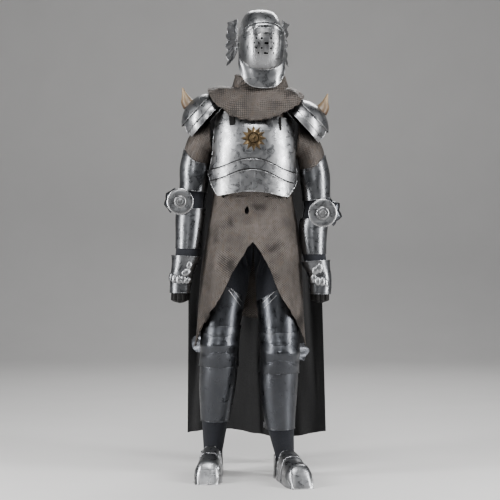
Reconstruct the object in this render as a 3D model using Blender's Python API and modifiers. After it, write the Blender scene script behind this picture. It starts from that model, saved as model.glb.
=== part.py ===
"""A suit of plate armour over mail, hollow and in its worn pose.

Every plate and cloth wall is a grid laid on a limb's form and given its thickness outwards.
Heights in the tables are above the soles. The origin is between the shoulders, where it is held up.
The armour faces -Y, and +X is its own left side.
"""

import math

import bmesh
import bpy
from mathutils import Matrix, Vector

# Driving dimensions in metres
HOLD_HEIGHT = 1.45
PLATE = 0.0015
BREAST_PLATE = 0.0020
MAIL_WALL = 0.0030
CLOTH_WALL = 0.0015
CAPE_WALL = 0.0020
SEAM = 0.0003
STEP_OUT = 0.0034  # from one lame's inside to the next one's inside

# How far each layer's inside lies out from the form under it
SLEEVE_OUT = 0.0
MAIL_OUT = 0.0040
LIMB_PLATE_OUT = 0.0085
SKIN_PLATE_OUT = 0.0034  # a plate straight over cloth
HAND_PLATE_OUT = 0.0027
LEG_CLOTH_OUT = 0.0045
LEG_PLATE_OUT = 0.0078
KNEE_LIFT = 0.0064
CUISSE_SLANT = 0.35  # how much lower its top is on the inner side, in steps of the leg's table
BODY_PLATE_OUT = 0.0100

# Helmet: everything on it is turned about the line through the two pivots
HELMET_X = 0.024
HELMET_Y = -0.005
PIVOT_HEIGHT = 1.705
HELMET_YAW = 9.0
ROUND_POWER = 3.0
SKULL_RADIUS = 0.1310
SKULL_HALF_WIDTH = 0.0810
BEVOR_RADIUS = 0.1340
BEVOR_HALF_WIDTH = 0.0840
CHEEK_SPREAD = 0.0115  # how much wider the bevor is below the visor
BEVOR_FLARE = 0.064  # how far its lower edge turns out
CHEEK_START = 50.7  # degrees down at which the spread starts
VISOR_RADIUS = 0.1425
VISOR_HALF_WIDTH = 0.0885
POLE = 89.2  # how near a turned plate comes to its pivot, in degrees
VISOR_TOP = 17.0
VISOR_BOTTOM = -49.0
HOLE = 0.0085
HOLE_PITCH = 0.0135
HOLE_ROW_PITCH = 0.0185
HOLE_ROWS = (7, 6, 5, 4, 3)  # holes in each row, from the brow down
HOLE_COLUMNS = 13
EAR_COLUMNS = 4
VISOR_KEEL = 0.006
VISOR_KEEL_REACH = 30.0  # degrees to each side
FIRST_HOLE_ROW = 8.7  # its angle above the pivots' level
CHIN_ROWS = 3
PIVOT_SHANK = 0.0066
PIVOT_HEAD = 0.0140
WING_FRONT = 0.0085  # how far behind the pivots the wing's bar stands
WING_REACH = 0.105
WING_SPREADS = {"right": 0.025, "left": 0.037}
WING_FLUTES = 4
WING_CLEAR = 0.0010

# Torso sections
BODY_POWER = 2.3  # how square its rings are; 2 is an ellipse
TORSO_COLUMNS = ("z", "x", "y", "half_width", "half_depth", "tilt")
TORSO = (
    (0.480, -0.014, -0.015, 0.210, 0.180, 0.0),
    (0.580, -0.014, -0.015, 0.204, 0.178, 0.0),
    (0.660, -0.013, -0.014, 0.197, 0.172, 0.0),
    (0.800, -0.010, -0.008, 0.192, 0.156, 0.0),
    (0.980, -0.004, 0.000, 0.170, 0.124, 0.0),
    (1.095, -0.005, 0.000, 0.149, 0.104, -1.0),
    (1.200, -0.003, 0.000, 0.155, 0.114, -3.0),
    (1.300, 0.000, 0.000, 0.154, 0.118, -4.0),
    (1.370, 0.001, 0.002, 0.152, 0.110, -5.0),
    (1.420, 0.002, 0.005, 0.143, 0.094, -6.0),
    (1.455, 0.004, 0.008, 0.108, 0.076, -6.0),
    (1.480, 0.006, 0.010, 0.075, 0.064, -5.0),
    (1.510, 0.008, 0.010, 0.062, 0.058, -4.0),
)

# Arm sections, armhole to knuckles. The armour's own right arm hangs at viewer's left.
ARM_COLUMNS = ("t", "right_x", "right_z", "left_x", "left_z", "y", "half_width", "half_depth", "tilt")
ARM = (
    (0.0, 0.170, 1.335, 0.170, 1.320, 0.000, 0.058, 0.060, 90.0),
    (1.0, 0.209, 1.309, 0.211, 1.291, 0.000, 0.052, 0.056, 50.0),
    (2.0, 0.227, 1.253, 0.231, 1.232, -0.002, 0.048, 0.052, 15.0),
    (3.0, 0.235, 1.205, 0.240, 1.180, -0.004, 0.047, 0.051, 5.0),
    (4.0, 0.238, 1.145, 0.245, 1.115, -0.008, 0.045, 0.048, 3.0),
    (5.0, 0.247, 1.083, 0.246, 1.040, -0.014, 0.045, 0.048, 0.0),
    (6.0, 0.253, 1.010, 0.232, 0.975, -0.024, 0.051, 0.049, 0.0),
    (7.0, 0.263, 0.880, 0.237, 0.860, -0.046, 0.042, 0.040, 0.0),
    (8.0, 0.281, 0.800, 0.257, 0.785, -0.060, 0.041, 0.034, 0.0),
    (9.0, 0.290, 0.700, 0.258, 0.700, -0.070, 0.036, 0.031, 0.0),
)

# Leg sections, fork to ankle
LEG_COLUMNS = ("t", "right_x", "right_y", "right_z", "left_x", "left_y", "left_z", "half_width", "half_depth")
LEG = (
    (0.0, 0.0885, 0.000, 0.860, 0.0865, -0.002, 0.855, 0.086, 0.092),
    (1.0, 0.1160, -0.010, 0.720, 0.0930, -0.030, 0.705, 0.077, 0.082),
    (2.0, 0.1300, -0.022, 0.600, 0.0990, -0.055, 0.575, 0.065, 0.070),
    (3.0, 0.1345, -0.025, 0.520, 0.1010, -0.062, 0.490, 0.060, 0.064),
    (4.0, 0.1400, -0.010, 0.420, 0.0970, -0.055, 0.400, 0.064, 0.068),
    (5.0, 0.1470, 0.012, 0.330, 0.0980, -0.050, 0.315, 0.060, 0.065),
    (6.0, 0.1550, 0.030, 0.220, 0.1030, -0.052, 0.200, 0.046, 0.050),
    (7.0, 0.1640, 0.044, 0.080, 0.1215, -0.050, 0.080, 0.030, 0.032),
)

# Armholes of the mail body, and how far round they reach, in degrees
ARMHOLE_LOW = 1.262
ARMHOLE_HIGH = 1.400
ARMHOLE_DEEP = 34.0

# Hips of the breeches, over the fork
HIP_COLUMNS = ("z", "half_width", "half_depth")
HIP = (
    (0.900, 0.168, 0.112),
    (0.970, 0.160, 0.108),
    (1.050, 0.146, 0.098),
)

LEG_SHARE = 0.75  # share of a breeches panel's rows below the fork
HIP_START = 0.860
FORK_GAP = 0.0005

# Height of the mail skirt's hem by degrees round from the front
HEM_COLUMNS = ("turn", "height")
HEM = (
    (0.0, 0.929),
    (11.25, 0.862),
    (22.5, 0.786),
    (33.75, 0.705),
    (45.0, 0.662),
    (67.5, 0.588),
    (78.0, 0.520),
    (90.0, 0.540),
    (102.0, 0.612),
    (180.0, 0.620),
)

# Mail collar: its outer edge by degrees round from the armour's own left
MANTLE_COLUMNS = ("turn", "x", "y", "height")
MANTLE = (
    (0.0, 0.196, 0.000, 1.500),
    (30.0, 0.170, -0.090, 1.472),
    (60.0, 0.088, -0.128, 1.424),
    (90.0, 0.000, -0.137, 1.408),
    (120.0, -0.088, -0.128, 1.426),
    (150.0, -0.162, -0.090, 1.486),
    (180.0, -0.184, 0.000, 1.526),
    (210.0, -0.156, 0.095, 1.492),
    (240.0, -0.085, 0.126, 1.440),
    (270.0, 0.004, 0.134, 1.424),
    (300.0, 0.092, 0.126, 1.432),
    (330.0, 0.164, 0.094, 1.474),
    (360.0, 0.196, 0.000, 1.500),
)
NECK_X = 0.024
NECK_HEIGHT = 1.580
NECK_HALF_WIDTH = 0.096
NECK_HALF_DEPTH = 0.061
NECK_FOOT_HEIGHT = 1.530
NECK_FOOT_HALF_WIDTH = 0.110
NECK_FOOT_HALF_DEPTH = 0.072
NECK_SHARE = 0.25

# Cuirass: angles are degrees round the body from its side
CUIRASS_TOP = 1.415
CUIRASS_BOTTOM = 1.105
CUIRASS_ARCH = 0.030  # how far the lower edge of the breast arches
CUIRASS_DIP = 0.020
CUIRASS_ARMPIT = 1.240
SIDE_GAP = 14.0
ARMPIT_GAP = 10.0
TAPER_TOP = 1.190  # below here the front plates draw in towards the middle
TAPER_BOTTOM = 1.085
TAPER_GAP = 44.0
BREAST_SWELL = 0.010
KEEL = 0.010
KEEL_REACH = 26.0
LAME_PEAK = 0.048  # how far the lames rise to a point at the front
LAME_PEAK_REACH = 34.0
LAME_LOW_PEAK = 0.55  # how much of that rise their lower edges have
WAIST_LAMES = (
    # name, top, bottom, how far out
    ("waist_lame_upper", 1.198, 1.150, 0.0180),
    ("waist_lame_lower", 1.158, 1.100, 0.0208),
)

# Shoulder domes
DOME_ALONG = 0.100
DOME_ACROSS = 0.104
DOME_DEEP = 0.098
DOME_LEAN = 54.0  # how far the dome's axis leans outwards from upright, in degrees
DOMES = {"right": (-0.176, 1.398), "left": (0.184, 1.374)}
LAME_SPREAD = 148.0
LAME_RISE = 14.0  # how much nearer the pole the lames come on the outer side
SHOULDER_LAMES = (
    # name, first and last degrees down the dome, how far out
    ("upper", 54, 79, STEP_OUT),
    ("lower", 73, 92, 0.0),
)
CAP_OUT = 0.0076  # the cap over the lames
HORN_LENGTH = 0.072
HORN_SEAT = 0.097  # radius of the cap under the horn's foot
HORN_RADIUS = 0.023
HORN_TIP = 0.003
HORN_ROWS = 4
HORN_BEND = 0.012

# Elbow discs: centre and radius, facing forwards
DISCS = {"right": (-0.288, 1.083, 0.051), "left": (0.267, 1.038, 0.055)}
DISC_FRONT = -0.0775
COUTER_CUP = 0.026  # how far the elbow cups swell out behind

# Feet: heel place and turn outwards, in degrees
FEET = {"right": (-0.166, 0.085, 3.0), "left": (0.112, -0.010, 14.0)}
FOOT_COLUMNS = ("along", "half_width", "top")
FOOT = (
    (0.000, 0.030, 0.085),
    (0.030, 0.039, 0.100),
    (0.090, 0.043, 0.112),
    (0.140, 0.045, 0.100),
    (0.200, 0.051, 0.086),
    (0.255, 0.051, 0.072),
    (0.285, 0.045, 0.052),
)
FOOT_START = 0.088
FOOT_BREAK = 0.150
TOE_LAP = 0.012
TOE_TOP_SHARE = 0.8  # share of the toe plate's rows that lie on top
TOE_NOSE = 0.008  # how far its front bulges
TOE_DRAW_IN = 0.90
SOLE_LIFT = 0.0004
FOOT_STEP = 0.0022
HEEL_RADIUS = 0.0445
HEEL_TAPER = 0.002
HEEL_HEIGHT = 0.088
HEEL_AT = 0.041  # from the back of the heel to the middle of its curve

# Cape: half width and distance behind, by height
CAPE_COLUMNS = ("z", "x", "half_width", "y", "curl")
CAPE = (
    (1.470, 0.006, 0.150, 0.129, 0.014),
    (1.430, 0.004, 0.190, 0.145, 0.026),
    (1.380, 0.003, 0.215, 0.153, 0.030),
    (1.250, 0.000, 0.240, 0.166, 0.045),
    (1.000, 0.002, 0.262, 0.186, 0.045),
    (0.700, 0.004, 0.272, 0.205, 0.035),
    (0.400, 0.008, 0.278, 0.215, 0.030),
    (0.140, 0.010, 0.283, 0.220, 0.030),
)
CAPE_FOLDS = 11
CAPE_ROWS_CROWD = 1.7  # rows lie closer together near the top
CAPE_FOLD_DEPTH = 0.014
CAPE_HEM_WAVE = 0.018

# Badge on the breast
BADGE_X = -0.002
BADGE_HEIGHT = 1.325
BADGE_RADIUS = 0.050
BADGE_POINTS = 12
BADGE_BOSS = 0.021

COLOURS = {
    "polished_steel": ((0.62, 0.63, 0.66, 1.0), 0.28, 1.0),
    "dark_steel": ((0.13, 0.14, 0.17, 1.0), 0.36, 1.0),
    "mail": ((0.20, 0.17, 0.14, 1.0), 0.55, 0.8),
    "brass": ((0.70, 0.47, 0.16, 1.0), 0.32, 1.0),
    "horn": ((0.55, 0.38, 0.22, 1.0), 0.50, 0.0),
    "leather": ((0.035, 0.028, 0.025, 1.0), 0.60, 0.0),
    "black_cloth": ((0.012, 0.012, 0.014, 1.0), 0.90, 0.0),
    "navy_cloth": ((0.020, 0.026, 0.050, 1.0), 0.92, 0.0),
}


def material(name):
    found = bpy.data.materials.get(name)
    if found:
        return found
    colour, roughness, metallic = COLOURS[name]
    made = bpy.data.materials.new(name)
    made.use_nodes = True
    shader = made.node_tree.nodes["Principled BSDF"]
    shader.inputs["Base Color"].default_value = colour
    shader.inputs["Roughness"].default_value = roughness
    shader.inputs["Metallic"].default_value = metallic
    return made


def read(rows, columns, key, column):
    """The column's value at the key, on a smooth curve through the table's rows."""
    at = columns.index(column)
    if key <= rows[0][0]:
        return rows[0][at]
    if key >= rows[-1][0]:
        return rows[-1][at]
    i = max(k for k, row in enumerate(rows[:-1]) if row[0] <= key)
    slopes = []
    for k in (i, i + 1):
        before = rows[max(k - 1, 0)]
        after = rows[min(k + 1, len(rows) - 1)]
        slopes.append((after[at] - before[at]) / (after[0] - before[0]))
    span = rows[i + 1][0] - rows[i][0]
    s = (key - rows[i][0]) / span
    start = rows[i][at] * (1 + 2 * s) * (1 - s) ** 2 + slopes[0] * span * s * (1 - s) ** 2
    end = rows[i + 1][at] * s * s * (3 - 2 * s) - slopes[1] * span * s * s * (1 - s)
    return start + end


def rounded(value, power):
    return math.copysign(abs(value) ** (2 / power), value)


def mix(a, b, share):
    return a + (b - a) * share


class Form:
    """A limb or the torso: rings along it, read from a table. Angle 0 is its outer side, 90 its front."""

    def __init__(self, section, power=2.0):
        self.section = section
        self.power = power

    def ring(self, t, angle):
        centre, across, half_width, half_depth = self.section(t)
        c = rounded(math.cos(math.radians(angle)), self.power)
        s = rounded(math.sin(math.radians(angle)), self.power)
        return centre + across * (half_width * c) + Vector((0, -half_depth * s, 0))

    def point(self, t, angle, out=0.0):
        place = self.ring(t, angle)
        if out == 0.0:
            return place
        step = 0.01
        along = self.ring(t + step, angle) - self.ring(t - step, angle)
        around = self.ring(t, angle + 1) - self.ring(t, angle - 1)
        normal = around.cross(along).normalized()
        if normal.dot(place - self.section(t)[0]) < 0:
            normal.negate()
        return place + normal * out


def torso_section(z):
    def at(column):
        return read(TORSO, TORSO_COLUMNS, z, column)

    tilt = math.radians(at("tilt"))
    centre = Vector((at("x"), at("y"), z - HOLD_HEIGHT))
    return centre, Vector((math.cos(tilt), 0, math.sin(tilt))), at("half_width"), at("half_depth")


def arm_section(side):
    sign = 1 if side == "left" else -1

    def section(t):
        def at(column):
            return read(ARM, ARM_COLUMNS, t, column)

        tilt = math.radians(at("tilt"))
        centre = Vector((sign * at(side + "_x"), at("y"), at(side + "_z") - HOLD_HEIGHT))
        across = Vector((sign * math.cos(tilt), 0, math.sin(tilt)))
        return centre, across, at("half_width"), at("half_depth")

    return section


def leg_section(side):
    sign = 1 if side == "left" else -1

    def section(t):
        def at(column):
            return read(LEG, LEG_COLUMNS, t, column)

        centre = Vector((sign * at(side + "_x"), at(side + "_y"), at(side + "_z") - HOLD_HEIGHT))
        return centre, Vector((sign, 0, 0)), at("half_width"), at("half_depth")

    return section


TORSO_FORM = Form(torso_section, BODY_POWER)
ARMS = {side: Form(arm_section(side)) for side in ("right", "left")}
LEGS = {side: Form(leg_section(side)) for side in ("right", "left")}
SIGNS = {"right": -1, "left": 1}


def finish(name, bm, slot, collection):
    """The mesh as an object in the armour's collection, shaded smooth."""
    mesh = bpy.data.meshes.new(name)
    bm.to_mesh(mesh)
    bm.free()
    obj = bpy.data.objects.new(name, mesh)
    collection.objects.link(obj)
    mesh.materials.append(material(slot))
    mesh.shade_smooth()
    mesh.set_sharp_from_angle(angle=math.radians(40))
    return obj


def panel(name, slot, across, down, wall, place, closed=False, holes=None, inside=None):
    """A grid whose points go where place(u, v) says, with a wall outwards from there."""
    bm = bmesh.new()
    bmesh.ops.create_grid(bm, x_segments=across, y_segments=down, size=0.5)
    if holes:
        cut = [f for f in bm.faces if holes(*(f.calc_center_median() + Vector((0.5, 0.5, 0)))[:2])]
        bmesh.ops.delete(bm, geom=cut, context="FACES")
    for vert in bm.verts:
        vert.co = place(vert.co.x + 0.5, vert.co.y + 0.5)
    if closed:
        bmesh.ops.remove_doubles(bm, verts=bm.verts, dist=0.00002)
    bm.normal_update()
    if inside is None:
        inside = sum((v.co for v in bm.verts), Vector()) / len(bm.verts)
    outward = sum(f.calc_area() * f.normal.dot(f.calc_center_median() - inside) for f in bm.faces)
    if outward < 0:
        bmesh.ops.reverse_faces(bm, faces=bm.faces)
    obj = finish(name, bm, slot, COLLECTION)
    thick = obj.modifiers.new("wall", "SOLIDIFY")
    thick.thickness = wall
    thick.offset = 1.0
    thick.use_even_offset = True
    return obj


def on_form(form, start, end, first=0.0, last=360.0, out=0.0, top=None, bottom=None):
    """Places a panel on a form, from start to end along it and first to last round it."""

    def place(u, v):
        angle = mix(first, last, u)
        low = end + (bottom(angle) if bottom else 0.0)
        high = start + (top(angle) if top else 0.0)
        lift = out(angle, v) if callable(out) else out
        return form.point(mix(high, low, v), angle, lift)

    return place


def turned(name, slot, profile, centre, axis, steps=24):
    """A turned solid: profile rows are (radius, height) down its outer side from the top."""
    bm = bmesh.new()
    verts = [bm.verts.new((radius, 0, height)) for radius, height in profile]
    for a, b in zip(verts, verts[1:]):
        bm.edges.new((a, b))
    obj = finish(name, bm, slot, COLLECTION)
    screw = obj.modifiers.new("turn", "SCREW")
    screw.steps = steps
    screw.render_steps = steps
    screw.use_merge_vertices = True
    screw.merge_threshold = 0.00001
    obj.matrix_world = Matrix.Translation(centre) @ axis.to_track_quat("Z", "Y").to_matrix().to_4x4()
    return obj


# Helmet


def helmet_frame():
    turn = Matrix.Rotation(math.radians(HELMET_YAW), 4, "Z")
    return Matrix.Translation((HELMET_X, HELMET_Y, PIVOT_HEIGHT - HOLD_HEIGHT)) @ turn


def on_helmet(radius, half_width, angle, round_by):
    """A point on a plate turned about the pivots: angle 0 is forwards and 90 up, round_by runs across."""
    x = half_width * rounded(math.sin(math.radians(round_by)), ROUND_POWER)
    r = radius * rounded(math.cos(math.radians(round_by)), ROUND_POWER)
    place = Vector((x, -r * math.cos(math.radians(angle)), r * math.sin(math.radians(angle))))
    return helmet_frame() @ place


def visor_grid():
    """Column angles and row angles of the visor, with a narrow cell wherever a hole comes."""
    arc = math.degrees(1 / VISOR_RADIUS)
    half = (HOLE_COLUMNS - 1) / 2
    columns = []
    for k in range(HOLE_COLUMNS):
        middle = (k - half) * HOLE_PITCH
        columns += [(middle - HOLE / 2) * arc, (middle + HOLE / 2) * arc]
    reach = columns[-1]
    ears = [mix(reach, POLE, (k + 1) / EAR_COLUMNS) for k in range(EAR_COLUMNS)]
    columns = [-c for c in reversed(ears)] + columns + ears
    rows = [VISOR_TOP]
    for k in range(len(HOLE_ROWS)):
        middle = FIRST_HOLE_ROW - k * HOLE_ROW_PITCH * arc
        rows += [middle + HOLE / 2 * arc, middle - HOLE / 2 * arc]
    lowest = rows[-1]
    rows += [mix(lowest, VISOR_BOTTOM, (k + 1) / CHIN_ROWS) for k in range(CHIN_ROWS)]
    return columns, rows


def build_helmet():
    pivot = helmet_frame().translation

    def skull(u, v):
        return on_helmet(SKULL_RADIUS, SKULL_HALF_WIDTH, mix(10, 246, v), mix(-POLE, POLE, u))

    panel("skull", "polished_steel", 12, 12, PLATE, skull, inside=pivot)

    columns, rows = visor_grid()
    across = len(columns) - 1
    down = len(rows) - 1

    def visor(u, v):
        round_by = columns[round(u * across)]
        keel = VISOR_KEEL * max(0.0, 1 - abs(round_by) / VISOR_KEEL_REACH)
        return on_helmet(VISOR_RADIUS + keel, VISOR_HALF_WIDTH, rows[round(v * down)], round_by)

    def is_hole(u, v):
        column = int(u * across) - EAR_COLUMNS
        row = int(v * down)
        if row % 2 == 0 or row > 2 * len(HOLE_ROWS) or column % 2 or not 0 <= column < 2 * HOLE_COLUMNS - 1:
            return False
        count = HOLE_ROWS[row // 2]
        steps = column // 2 - (HOLE_COLUMNS - 1) // 2
        return abs(steps) < count and (steps + count) % 2 == 1

    panel("visor", "polished_steel", across, down, PLATE, visor, holes=is_hole, inside=pivot)

    def band(u, v):
        bulge = 0.0035 * math.sin(math.pi * v)
        angle = mix(21, 31, v) - 0.5 * abs(mix(-5, 5, u))
        return on_helmet(SKULL_RADIUS + 0.003 + bulge, SKULL_HALF_WIDTH + 0.003, angle, mix(-66, 66, u))

    panel("brow_band", "polished_steel", 12, 2, PLATE, band, inside=pivot)

    def bevor(u, v):
        angle = mix(-30, -66, v)
        round_by = mix(-POLE, POLE, u)
        flare = BEVOR_FLARE * max(0.0, (-angle - 52) / 14) ** 1.2
        below_visor = min(1.0, max(0.0, (-angle - CHEEK_START) / 5))
        off_pivot = min(1.0, (POLE - abs(round_by)) / 24)
        half_width = BEVOR_HALF_WIDTH + CHEEK_SPREAD * below_visor * off_pivot
        return on_helmet(BEVOR_RADIUS + flare, half_width, angle, round_by)

    panel("bevor", "polished_steel", 14, 7, PLATE, bevor, inside=pivot)

    axis = (helmet_frame().to_3x3() @ Vector((1, 0, 0))).normalized()
    for side, sign in SIGNS.items():
        outward = axis * sign
        face = VISOR_HALF_WIDTH + 2 * (PLATE + SEAM) + WING_CLEAR
        profile = (
            (0.0, face + 0.006),
            (PIVOT_HEAD * 0.6, face + 0.0045),
            (PIVOT_HEAD, face),
            (PIVOT_SHANK, face),
            (PIVOT_SHANK, SKULL_HALF_WIDTH - 0.004),
            (0.0, SKULL_HALF_WIDTH - 0.004),
        )
        turned("pivot_" + side, "polished_steel", profile, pivot, outward, 16)
        build_wing(side, sign)


def build_wing(side, sign):
    """A fluted fan plate held under the pivot's head, spreading back and outwards from an upright bar."""
    frame = helmet_frame()
    face = VISOR_HALF_WIDTH + PLATE + SEAM

    def wing(u, v):
        root = mix(-0.034, 0.096, u)
        tip = mix(-0.078, 0.092, u)
        reach = WING_REACH * (0.45 + 0.55 * math.sin(math.pi * mix(0.12, 0.88, u)) ** 0.7)
        spread = WING_SPREADS[side] * v**1.5 + 0.003 * v * math.cos(2 * math.pi * WING_FLUTES * u)
        return frame @ Vector((sign * (face + spread), WING_FRONT + reach * v, mix(root, tip, v)))

    panel("wing_" + side, "polished_steel", 12, 3, PLATE, wing, inside=frame.translation)


# Mail and cloth of the body


def armhole(z):
    """How far the body panels' side edges draw back from the side at this height, in degrees."""
    if not ARMHOLE_LOW < z < ARMHOLE_HIGH:
        return 0.0
    share = (z - ARMHOLE_LOW) / (ARMHOLE_HIGH - ARMHOLE_LOW)
    return ARMHOLE_DEEP * math.sin(math.pi * share) ** 0.6


def build_mail_body():
    seam = math.degrees(SEAM / 0.15)
    for name, first, last in (("mail_front", 0, 180), ("mail_back", 180, 360)):

        def body(u, v, first=first, last=last):
            z = mix(1.105, 1.500, v)
            margin = seam + armhole(z)
            return TORSO_FORM.point(z, mix(first + margin, last - margin, u), MAIL_OUT)

        middle = Vector((0, 0, 1.25 - HOLD_HEIGHT))
        panel(name, "mail", 12, 7, MAIL_WALL, body, inside=middle)

    def skirt(u, v):
        angle = mix(0, 360, u)
        turn = abs((angle - 90 + 180) % 360 - 180)
        low = read(HEM, HEM_COLUMNS, turn, "height")
        wave = 0.006 * math.sin(math.radians(9 * angle)) * v
        return TORSO_FORM.point(mix(1.102, low, v), angle, MAIL_OUT + wave)

    panel("mail_skirt", "mail", 32, 4, MAIL_WALL, skirt, closed=True)

    def mantle(u, v):
        angle = mix(0, 360, u)
        c, s = math.cos(math.radians(angle)), math.sin(math.radians(angle))
        neck = Vector((NECK_X + NECK_HALF_WIDTH * c, -NECK_HALF_DEPTH * s, NECK_HEIGHT - HOLD_HEIGHT))
        foot = Vector(
            (NECK_X + NECK_FOOT_HALF_WIDTH * c, -NECK_FOOT_HALF_DEPTH * s, NECK_FOOT_HEIGHT - HOLD_HEIGHT)
        )
        if v <= NECK_SHARE:
            return neck.lerp(foot, v / NECK_SHARE)
        edge = Vector([read(MANTLE, MANTLE_COLUMNS, angle, column) for column in ("x", "y", "height")])
        edge.z -= HOLD_HEIGHT
        share = (v - NECK_SHARE) / (1 - NECK_SHARE)
        place = foot.lerp(edge, share)
        place.z += 0.010 * math.sin(math.pi * share)
        return place

    below = Vector((NECK_X, 0, 1.35 - HOLD_HEIGHT))
    panel("mail_collar", "mail", 24, 4, MAIL_WALL, mantle, closed=True, inside=below)


def build_breeches():
    for side, sign in SIGNS.items():

        def half(u, v, side=side, sign=sign):
            if v <= LEG_SHARE:
                out = LEG_CLOTH_OUT * min(1.0, 6 * (LEG_SHARE - v))
                return LEGS[side].point(mix(7.0, 0.0, v / LEG_SHARE), mix(180, -180, u), out)
            z = mix(HIP_START, HIP[-1][0], (v - LEG_SHARE) / (1 - LEG_SHARE))
            angle = math.radians(mix(90, -90, u))
            c = rounded(math.cos(angle), BODY_POWER)
            s = rounded(math.sin(angle), BODY_POWER)
            x = sign * (FORK_GAP + read(HIP, HIP_COLUMNS, z, "half_width") * c)
            y = -read(HIP, HIP_COLUMNS, z, "half_depth") * s
            return Vector((x, y, z - HOLD_HEIGHT))

        panel("breeches_" + side, "navy_cloth", 12, 7, CLOTH_WALL, half, closed=True)


# Plates of the body


def side_gap(z):
    """How far the front plates stop short of the body's side at this height, in degrees."""
    share = min(1.0, max(0.0, (TAPER_TOP - z) / (TAPER_TOP - TAPER_BOTTOM)))
    return mix(SIDE_GAP, TAPER_GAP, share)


def body_keel(angle):
    return KEEL * math.exp(-((angle - 90) / KEEL_REACH) ** 2)


def build_cuirass():
    seam = SIDE_GAP

    def breast(u, v):
        margin = side_gap(mix(CUIRASS_TOP, CUIRASS_BOTTOM - CUIRASS_DIP, v))
        angle = mix(margin, 180 - margin, u)
        low = CUIRASS_BOTTOM + CUIRASS_ARCH * math.cos(math.radians(2 * (angle - 90) * 0.9))
        z = mix(CUIRASS_TOP, low, v)
        if z > CUIRASS_ARMPIT:
            angle = mix(seam + ARMPIT_GAP, 180 - seam - ARMPIT_GAP, u)
        keel = body_keel(angle) * math.sin(math.pi * min(1, v + 0.1))
        return TORSO_FORM.point(z, angle, BODY_PLATE_OUT + BREAST_SWELL * math.sin(math.pi * v) + keel)

    panel("breastplate", "polished_steel", 16, 8, BREAST_PLATE, breast)

    def back(u, v):
        z = mix(CUIRASS_TOP, CUIRASS_BOTTOM + 0.005, v)
        margin = seam + (ARMPIT_GAP if z > CUIRASS_ARMPIT else 0)
        return TORSO_FORM.point(z, mix(180 + margin, 360 - margin, u), BODY_PLATE_OUT)

    panel("backplate", "polished_steel", 12, 5, BREAST_PLATE, back)

    for name, high, low, lift in WAIST_LAMES:

        def lame(u, v, high=high, low=low, lift=lift):
            margin = side_gap(mix(high, low, v)) + 1
            angle = mix(margin, 180 - margin, u)
            peak = LAME_PEAK * math.exp(-((angle - 90) / LAME_PEAK_REACH) ** 2)
            z = mix(high + peak, low + LAME_LOW_PEAK * peak, v)
            return TORSO_FORM.point(z, angle, BODY_PLATE_OUT + lift + body_keel(angle))

        panel(name, "polished_steel", 16, 2, PLATE, lame)


def build_badge():
    """An even many-pointed star round a plain domed boss, lying on the breast."""
    front = TORSO_FORM.point(BADGE_HEIGHT, 90, BODY_PLATE_OUT + 0.0205 + BREAST_PLATE).y - 0.0018
    bm = bmesh.new()
    around = 2 * BADGE_POINTS
    rim = []
    for k in range(around):
        angle = 2 * math.pi * k / around
        r = BADGE_RADIUS if k % 2 == 0 else 0.62 * BADGE_RADIUS
        height = BADGE_HEIGHT - HOLD_HEIGHT + r * math.sin(angle)
        rim.append(Vector((BADGE_X + r * math.cos(angle), 0, height)))
    backs = [bm.verts.new(Vector((p.x, front, p.z))) for p in rim]
    fronts = [bm.verts.new(Vector((p.x, front - 0.0015, p.z))) for p in rim]
    centre = Vector((BADGE_X, front - 0.003, BADGE_HEIGHT - HOLD_HEIGHT))
    bm.faces.new(backs)
    rings = [fronts]
    for radius, rise in ((BADGE_BOSS, 0.001), (BADGE_BOSS * 0.8, 0.007), (BADGE_BOSS * 0.4, 0.010)):
        ring = []
        for k in range(around):
            angle = 2 * math.pi * k / around
            offset = Vector((radius * math.cos(angle), -rise, radius * math.sin(angle)))
            ring.append(bm.verts.new(centre + offset))
        rings.append(ring)
    top = bm.verts.new(centre + Vector((0, -0.011, 0)))
    for a, b in zip([backs] + rings, rings):
        for k in range(around):
            bm.faces.new((a[k], a[(k + 1) % around], b[(k + 1) % around], b[k]))
    for k in range(around):
        bm.faces.new((rings[-1][k], rings[-1][(k + 1) % around], top))
    bmesh.ops.recalc_face_normals(bm, faces=bm.faces)
    finish("breast_badge", bm, "brass", COLLECTION)


# Plates of the shoulders and arms


def dome_frame(side):
    sign = SIGNS[side]
    x, height = DOMES[side]
    lean = math.radians(DOME_LEAN)
    along = Vector((sign * math.sin(lean), 0, math.cos(lean)))
    across = Vector((-sign * math.cos(lean), 0, math.sin(lean)))
    return Vector((x, 0.0, height - HOLD_HEIGHT)), along, across


def on_dome(side, down, turn, out=0.0):
    """A point on the shoulder dome: down from its pole, and round from the neck side."""
    centre, along, across = dome_frame(side)
    d, t = math.radians(down), math.radians(turn)
    place = along * ((DOME_ALONG + out) * math.cos(d))
    place += across * ((DOME_ACROSS + out) * math.sin(d) * math.cos(t))
    return centre + place + Vector((0, -(DOME_DEEP + out) * math.sin(d) * math.sin(t), 0))


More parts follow.
